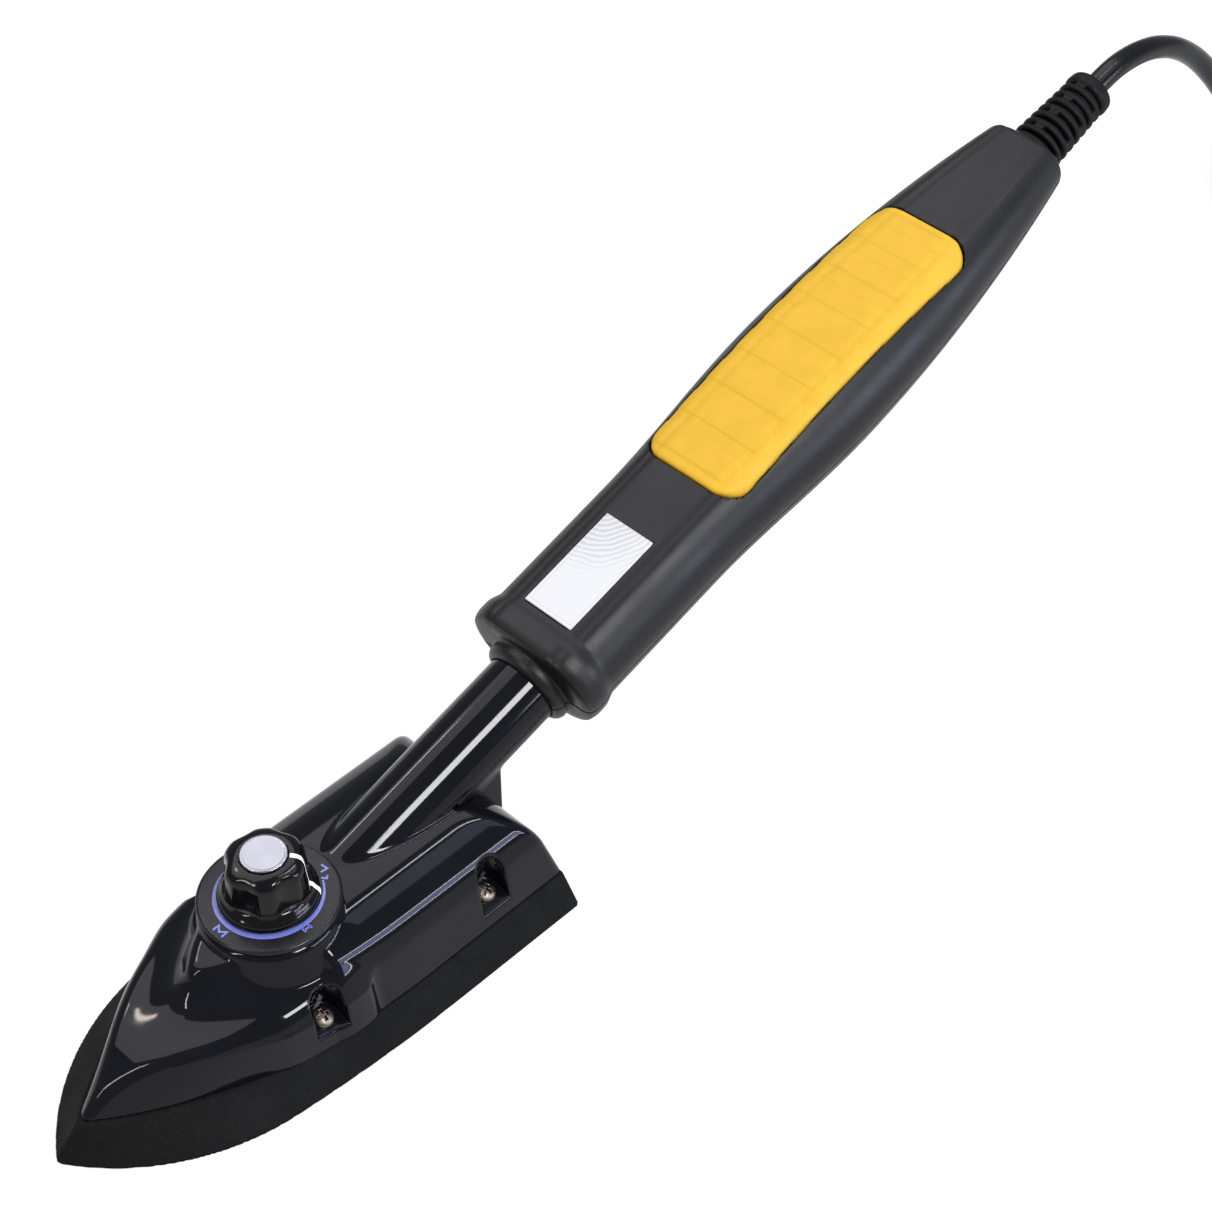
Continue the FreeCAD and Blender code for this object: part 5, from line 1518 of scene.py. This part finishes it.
margin = Vector((2.5, 2.5, 2.5))
tie_thickness = 1.0
tie_corner = 2.0
plug_neck_radius = 4.3
plug_rib_count = 4
plug_rib_pitch = 2.7
plug_rib_radius = 0.85
blade_half_width = 3.15
blade_half_thickness = 0.75
blade_root = 7.9
blade_hole_radius = 1.6
blade_hole_inset = 4.5
slot_gap = 0.1
plug_neck_length = 12.0
plug_length = 34.0
plug_half_width = 11.5
plug_half_height = 9.5
blade_side = 6.35
blade_length = 15.9


def tie_field(x, y, z):
    """Woven strap round the waist of the long coil, with its end lapped over on top."""
    low, high = node_box("cord_tie")
    middle = (low + high) / 2
    reach = (high - low) / 2
    inset_y = np.abs(y - middle.y) - reach.y + tie_thickness / 2 + tie_corner
    inset_z = np.abs(z - middle.z) - reach.z + tie_thickness / 2 + tie_corner
    corner = np.hypot(np.maximum(inset_y, 0), np.maximum(inset_z, 0))
    loop = corner + np.minimum(np.maximum(inset_y, inset_z), 0) - tie_corner
    across = np.abs(x - middle.x)
    band = rounded_box([np.abs(loop) - tie_thickness / 2, across - reach.x], 0.35)
    lap = rounded_box([between(loop, tie_thickness / 2 - 0.2, tie_thickness * 1.4), across - reach.x + 0.3,
                       between(y, middle.y - 14, middle.y + 9), middle.z - z], 0.35)
    return np.minimum(band, lap)


def plug_field(x, y, z):
    """Moulded plug along x: a ribbed neck, a waisted body with finger ridges and a flat face."""
    around = np.hypot(y, z)
    span = between(x, 0.3, plug_neck_length + 2)
    neck = np.maximum(around - plug_neck_radius - x * 0.1, span)
    for i in range(plug_rib_count):
        middle = 2.2 + plug_rib_pitch * i
        rib = np.hypot(np.maximum(around - 5.0 - 0.1 * middle, 0), x - middle) - plug_rib_radius
        neck = blend_min(neck, np.maximum(rib, span), 0.3)
    along = x - plug_neck_length
    swell = 0.62 + 0.38 * ease(along, 0.0, 16.0)
    wide = np.abs(y) - plug_half_width * swell + 0.5 * np.cos(math.pi * np.clip(along - 8, 0, 20) / 2.5)
    high = np.abs(z) - plug_half_height * (0.7 + 0.3 * ease(along, 0.0, 12.0))
    body = rounded_box([wide, high, between(along, 0.0, plug_length)], 3.4)
    body = blend_min(body, neck, 1.2)
    slots = np.maximum.reduce([np.abs(np.abs(y) - blade_side) - 0.8,
                               np.abs(z) - blade_half_width - slot_gap, plug_length - 8 - along])
    return np.maximum(body, -slots)


def blade_field(x, y, z):
    """Two flat blades with a round hole and chamfered tips."""
    end = plug_neck_length + plug_length
    tip = end + blade_length
    flat = np.abs(z) - blade_half_width + np.maximum(x - tip + 2.0, 0) * 0.6
    thick = np.abs(np.abs(y) - blade_side) - blade_half_thickness + np.maximum(x - tip + 1.4, 0) * 0.3
    blade = rounded_box([between(x, end - blade_root, tip), thick, flat], 0.25)
    return np.maximum(blade, blade_hole_radius - np.hypot(x - tip + blade_hole_inset, z))


class IRON_OT_cord(bpy.types.Operator):
    """Mains cord from the sleeve to its coil and plug"""

    bl_idname = "iron.cord"
    bl_label = "Cord"

    def execute(self, context):
        curve = bpy.data.curves.new("mains_cord", "CURVE")
        curve.dimensions = "3D"
        points = cord_points()
        spline = curve.splines.new("NURBS")
        spline.points.add(len(points) - 1)
        for spot, point in zip(spline.points, points):
            spot.co = (*(point * MM), 1)
        spline.order_u = 3
        spline.use_endpoint_u = True
        spline.resolution_u = 10
        curve.bevel_depth = sizes().cord_diameter / 2
        curve.bevel_resolution = 7
        curve.use_fill_caps = True
        curve.materials.append(finish_named("cord_jacket"))
        cord = bpy.data.objects.new("mains_cord", curve)
        bpy.context.scene.collection.objects.link(cord)
        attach(cord, "iron")
        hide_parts("cord", "cord_coil")
        low, high = node_box("cord_tie")
        tie = add_skin("tie_strap", tie_field, (low - margin, high + margin), 0.35, "tie_web", ["cord_tie"])
        end = np.array(points[-1])
        for name, field, node, step, finish in (
                ("plug_skin", plug_field, "plug_body", 0.5, "plug_moulding"),
                ("plug_pins", blade_field, "plug_blades", 0.3, "bright_brass")):
            low, high = node_box(node)
            places, faces, normals = skin(field, np.array(low) - end - 2, np.array(high) - end + 2, step)
            made = add_piece(name, places + end, faces, finish_named(finish), "iron", [node], normals)
        measured = curve_length(cord)
        return {"FINISHED"}


def curve_length(cord):
    """Length of a cord's own line, in metres."""
    bare = cord.copy()
    bare.data = cord.data.copy()
    bare.data.bevel_depth = 0
    bpy.context.scene.collection.objects.link(bare)
    bpy.context.view_layer.update()
    mesh = bpy.data.meshes.new_from_object(bare)
    spots = [v.co.copy() for v in mesh.vertices]
    length = sum((b - a).length for a, b in zip(spots, spots[1:]))
    bpy.data.objects.remove(bare)
    return length


# Studio and camera

def look_from(azimuth, elevation, roll, target, distance):
    """Camera matrix from its direction in degrees, its target and its distance."""
    a = math.radians(azimuth)
    e = math.radians(elevation)
    back = Vector((math.sin(a) * math.cos(e), -math.cos(a) * math.cos(e), math.sin(e)))
    right = Vector((math.cos(a), math.sin(a), 0))
    up = back.cross(right)
    c = math.cos(math.radians(roll))
    s = math.sin(math.radians(roll))
    across = right * c + up * s
    upward = up * c - right * s
    matrix = Matrix((across, upward, back)).transposed().to_4x4()
    matrix.translation = target + back * distance
    return matrix


image_size = 1212
focal_pixels = 2744.88
centre_column = 641.56
centre_row = 563.93
sensor_width = 36
view_azimuth = -46.514
view_elevation = 43.809
view_roll = 0.484
view_scale = 0.95
view_target = Vector((137.913, 25.939, 15.0))
view_distance = 662.21


class IRON_OT_camera(bpy.types.Operator):
    """Camera at the photograph's viewing angle"""

    bl_idname = "iron.camera"
    bl_label = "Camera"

    def execute(self, context):
        data = bpy.data.cameras.new("studio_camera")
        data.sensor_width = sensor_width
        data.lens = sensor_width * focal_pixels / image_size
        data.shift_x = -(centre_column - image_size / 2) / image_size
        data.shift_y = (centre_row - image_size / 2) / image_size
        camera = bpy.data.objects.new("studio_camera", data)
        camera.matrix_world = look_from(
            view_azimuth, view_elevation, view_roll, view_target * view_scale * MM,
            view_distance * view_scale * MM)
        bpy.context.scene.collection.objects.link(camera)
        bpy.context.scene.camera = camera
        return {"FINISHED"}


lamp_middle = Vector((0.05, 0.0, 0.031))
lamp_distance = 0.9
floor_reach = 4.0
floor_drop = 0.0002
floor_white = (0.70, 0.70, 0.70)
floor_glow = 1.05
floor_show = 0.75


def area_lamp(name, way, along, size_x, size_y, radiance, colour=(1, 1, 1)):
    """Soft box at arm's length from the iron in one direction, its y side lying along another."""
    data = bpy.data.lights.new(name, "AREA")
    data.shape = "RECTANGLE"
    data.size = size_x
    data.size_y = size_y
    data.energy = radiance * math.pi * size_x * size_y
    data.color = colour
    back = Vector(way).normalized()
    side = Vector(along).cross(back).normalized()
    matrix = Matrix((side, back.cross(side), back)).transposed().to_4x4()
    matrix.translation = lamp_middle + back * lamp_distance
    lamp = bpy.data.objects.new(name, data)
    lamp.matrix_world = matrix
    bpy.context.scene.collection.objects.link(lamp)
    return lamp


def floor_paper():
    """White paper that keeps the iron's shadow and still shows white where nothing shades it."""
    finish, shader = new_finish("floor_paper", floor_white, 0.9, specular=0.1)
    add_bump(finish, shader, [(add_noise(finish, 400, 3), 0.03, 0.0002)])
    glow = add_node(finish, "ShaderNodeEmission", {"Color": (1, 1, 1, 1), "Strength": floor_glow})
    path = add_node(finish, "ShaderNodeLightPath")
    seen = path.outputs["Is Camera Ray"]
    for kind in ("Is Glossy Ray", "Is Transmission Ray"):
        either = add_node(finish, "ShaderNodeMath", operation="MAXIMUM")
        link(finish, seen, either.inputs[0])
        link(finish, path.outputs[kind], either.inputs[1])
        seen = either.outputs["Value"]
    share = add_node(finish, "ShaderNodeMath", {1: floor_show}, operation="MULTIPLY")
    link(finish, seen, share.inputs[0])
    mix = add_node(finish, "ShaderNodeMixShader")
    link(finish, share.outputs["Value"], mix.inputs["Fac"])
    link(finish, shader.outputs["BSDF"], mix.inputs[1])
    link(finish, glow.outputs["Emission"], mix.inputs[2])
    link(finish, mix.outputs["Shader"], finish.node_tree.nodes["Material Output"].inputs["Surface"])
    return finish


class IRON_OT_studio(bpy.types.Operator):
    """Pale floor, soft lamps and an even pale surround"""

    bl_idname = "iron.studio"
    bl_label = "Studio"

    def execute(self, context):
        scene = bpy.context.scene
        scene.view_settings.view_transform = "Standard"
        world = bpy.data.worlds.new("studio_world")
        scene.world = world
        world.use_nodes = True
        shade = world.node_tree.nodes["Background"]
        shade.inputs["Color"].default_value = (0.85, 0.90, 1.0, 1)
        shade.inputs["Strength"].default_value = 0.45

        corners = [(-1, -1), (1, -1), (1, 1), (-1, 1)]
        mesh = bpy.data.meshes.new("studio_floor")
        mesh.from_pydata([(x * floor_reach, y * floor_reach, -floor_drop) for x, y in corners],
                         [], [(0, 1, 2, 3)])
        mesh.materials.append(floor_paper())
        floor = bpy.data.objects.new("studio_floor", mesh)
        scene.collection.objects.link(floor)

        # Each lamp's direction is the one that its highlight on the cover mirrors
        along = (1, 0, 0)
        area_lamp("lamp_right", (-0.02, -0.665, 0.746), along, 0.24, 0.19, 52)
        area_lamp("lamp_left", (-0.105, 0.60, 0.79), along, 0.03, 0.12, 44, (1.0, 0.88, 0.74))
        area_lamp("lamp_top", (0.12, 0.45, 0.885), along, 0.6, 1.1, 3.0, (0.95, 0.92, 1.0))
        area_lamp("lamp_flank", (0.42, -0.33, 0.845), along, 0.30, 0.5, 2.6, (0.6, 0.78, 1.0))
        area_lamp("lamp_crest", (0.40, -0.06, 0.91), along, 0.035, 0.40, 36)
        area_lamp("lamp_window", (0.435, -0.86, 0.25), along, 0.11, 0.50, 14, (0.45, 0.52, 1.0))
        area_lamp("lamp_window_top", (0.42, -0.84, 0.345), along, 0.02, 0.50, 55)
        area_lamp("lamp_window_foot", (0.45, -0.88, 0.16), along, 0.02, 0.50, 45)
        area_lamp("lamp_front", (-0.80, 0.08, 0.60), (0, 0, 1), 0.05, 0.5, 38, (1.0, 0.93, 0.9))
        return {"FINISHED"}


class IRON_PT_panel(bpy.types.Panel):
    """Sealing iron tools"""

    bl_idname = "IRON_PT_panel"
    bl_label = "Sealing iron"
    bl_space_type = "VIEW_3D"
    bl_region_type = "UI"
    bl_category = "Sealing iron"

    def draw(self, context):
        layout = self.layout
        for group in (context.scene.iron_sizes, context.scene.iron_colours):
            for key in group.__annotations__:
                layout.prop(group, key)
        for maker in makers:
            layout.operator(maker.bl_idname)


makers = (
    IRON_OT_finishes,
    IRON_OT_camera,
    IRON_OT_cord,
    IRON_OT_sole,
    IRON_OT_cover,
    IRON_OT_screws,
    IRON_OT_neck_base,
    IRON_OT_dial,
    IRON_OT_knob,
    IRON_OT_handle,
    IRON_OT_name_plate,
    IRON_OT_sleeve,
    IRON_OT_studio,
)
groups = (IronSizes, IronColours)


def register():
    for group in groups:
        bpy.utils.register_class(group)
    bpy.types.Scene.iron_sizes = PointerProperty(type=IronSizes)
    bpy.types.Scene.iron_colours = PointerProperty(type=IronColours)
    for maker in makers:
        bpy.utils.register_class(maker)
    bpy.utils.register_class(IRON_PT_panel)


def unregister():
    bpy.utils.unregister_class(IRON_PT_panel)
    for maker in reversed(makers):
        bpy.utils.unregister_class(maker)
    del bpy.types.Scene.iron_colours
    del bpy.types.Scene.iron_sizes
    for group in reversed(groups):
        bpy.utils.unregister_class(group)


def main():
    register()
    for maker in makers:
        area, name = maker.bl_idname.split(".")
        getattr(getattr(bpy.ops, area), name)()


if __name__ == "__main__":
    main()
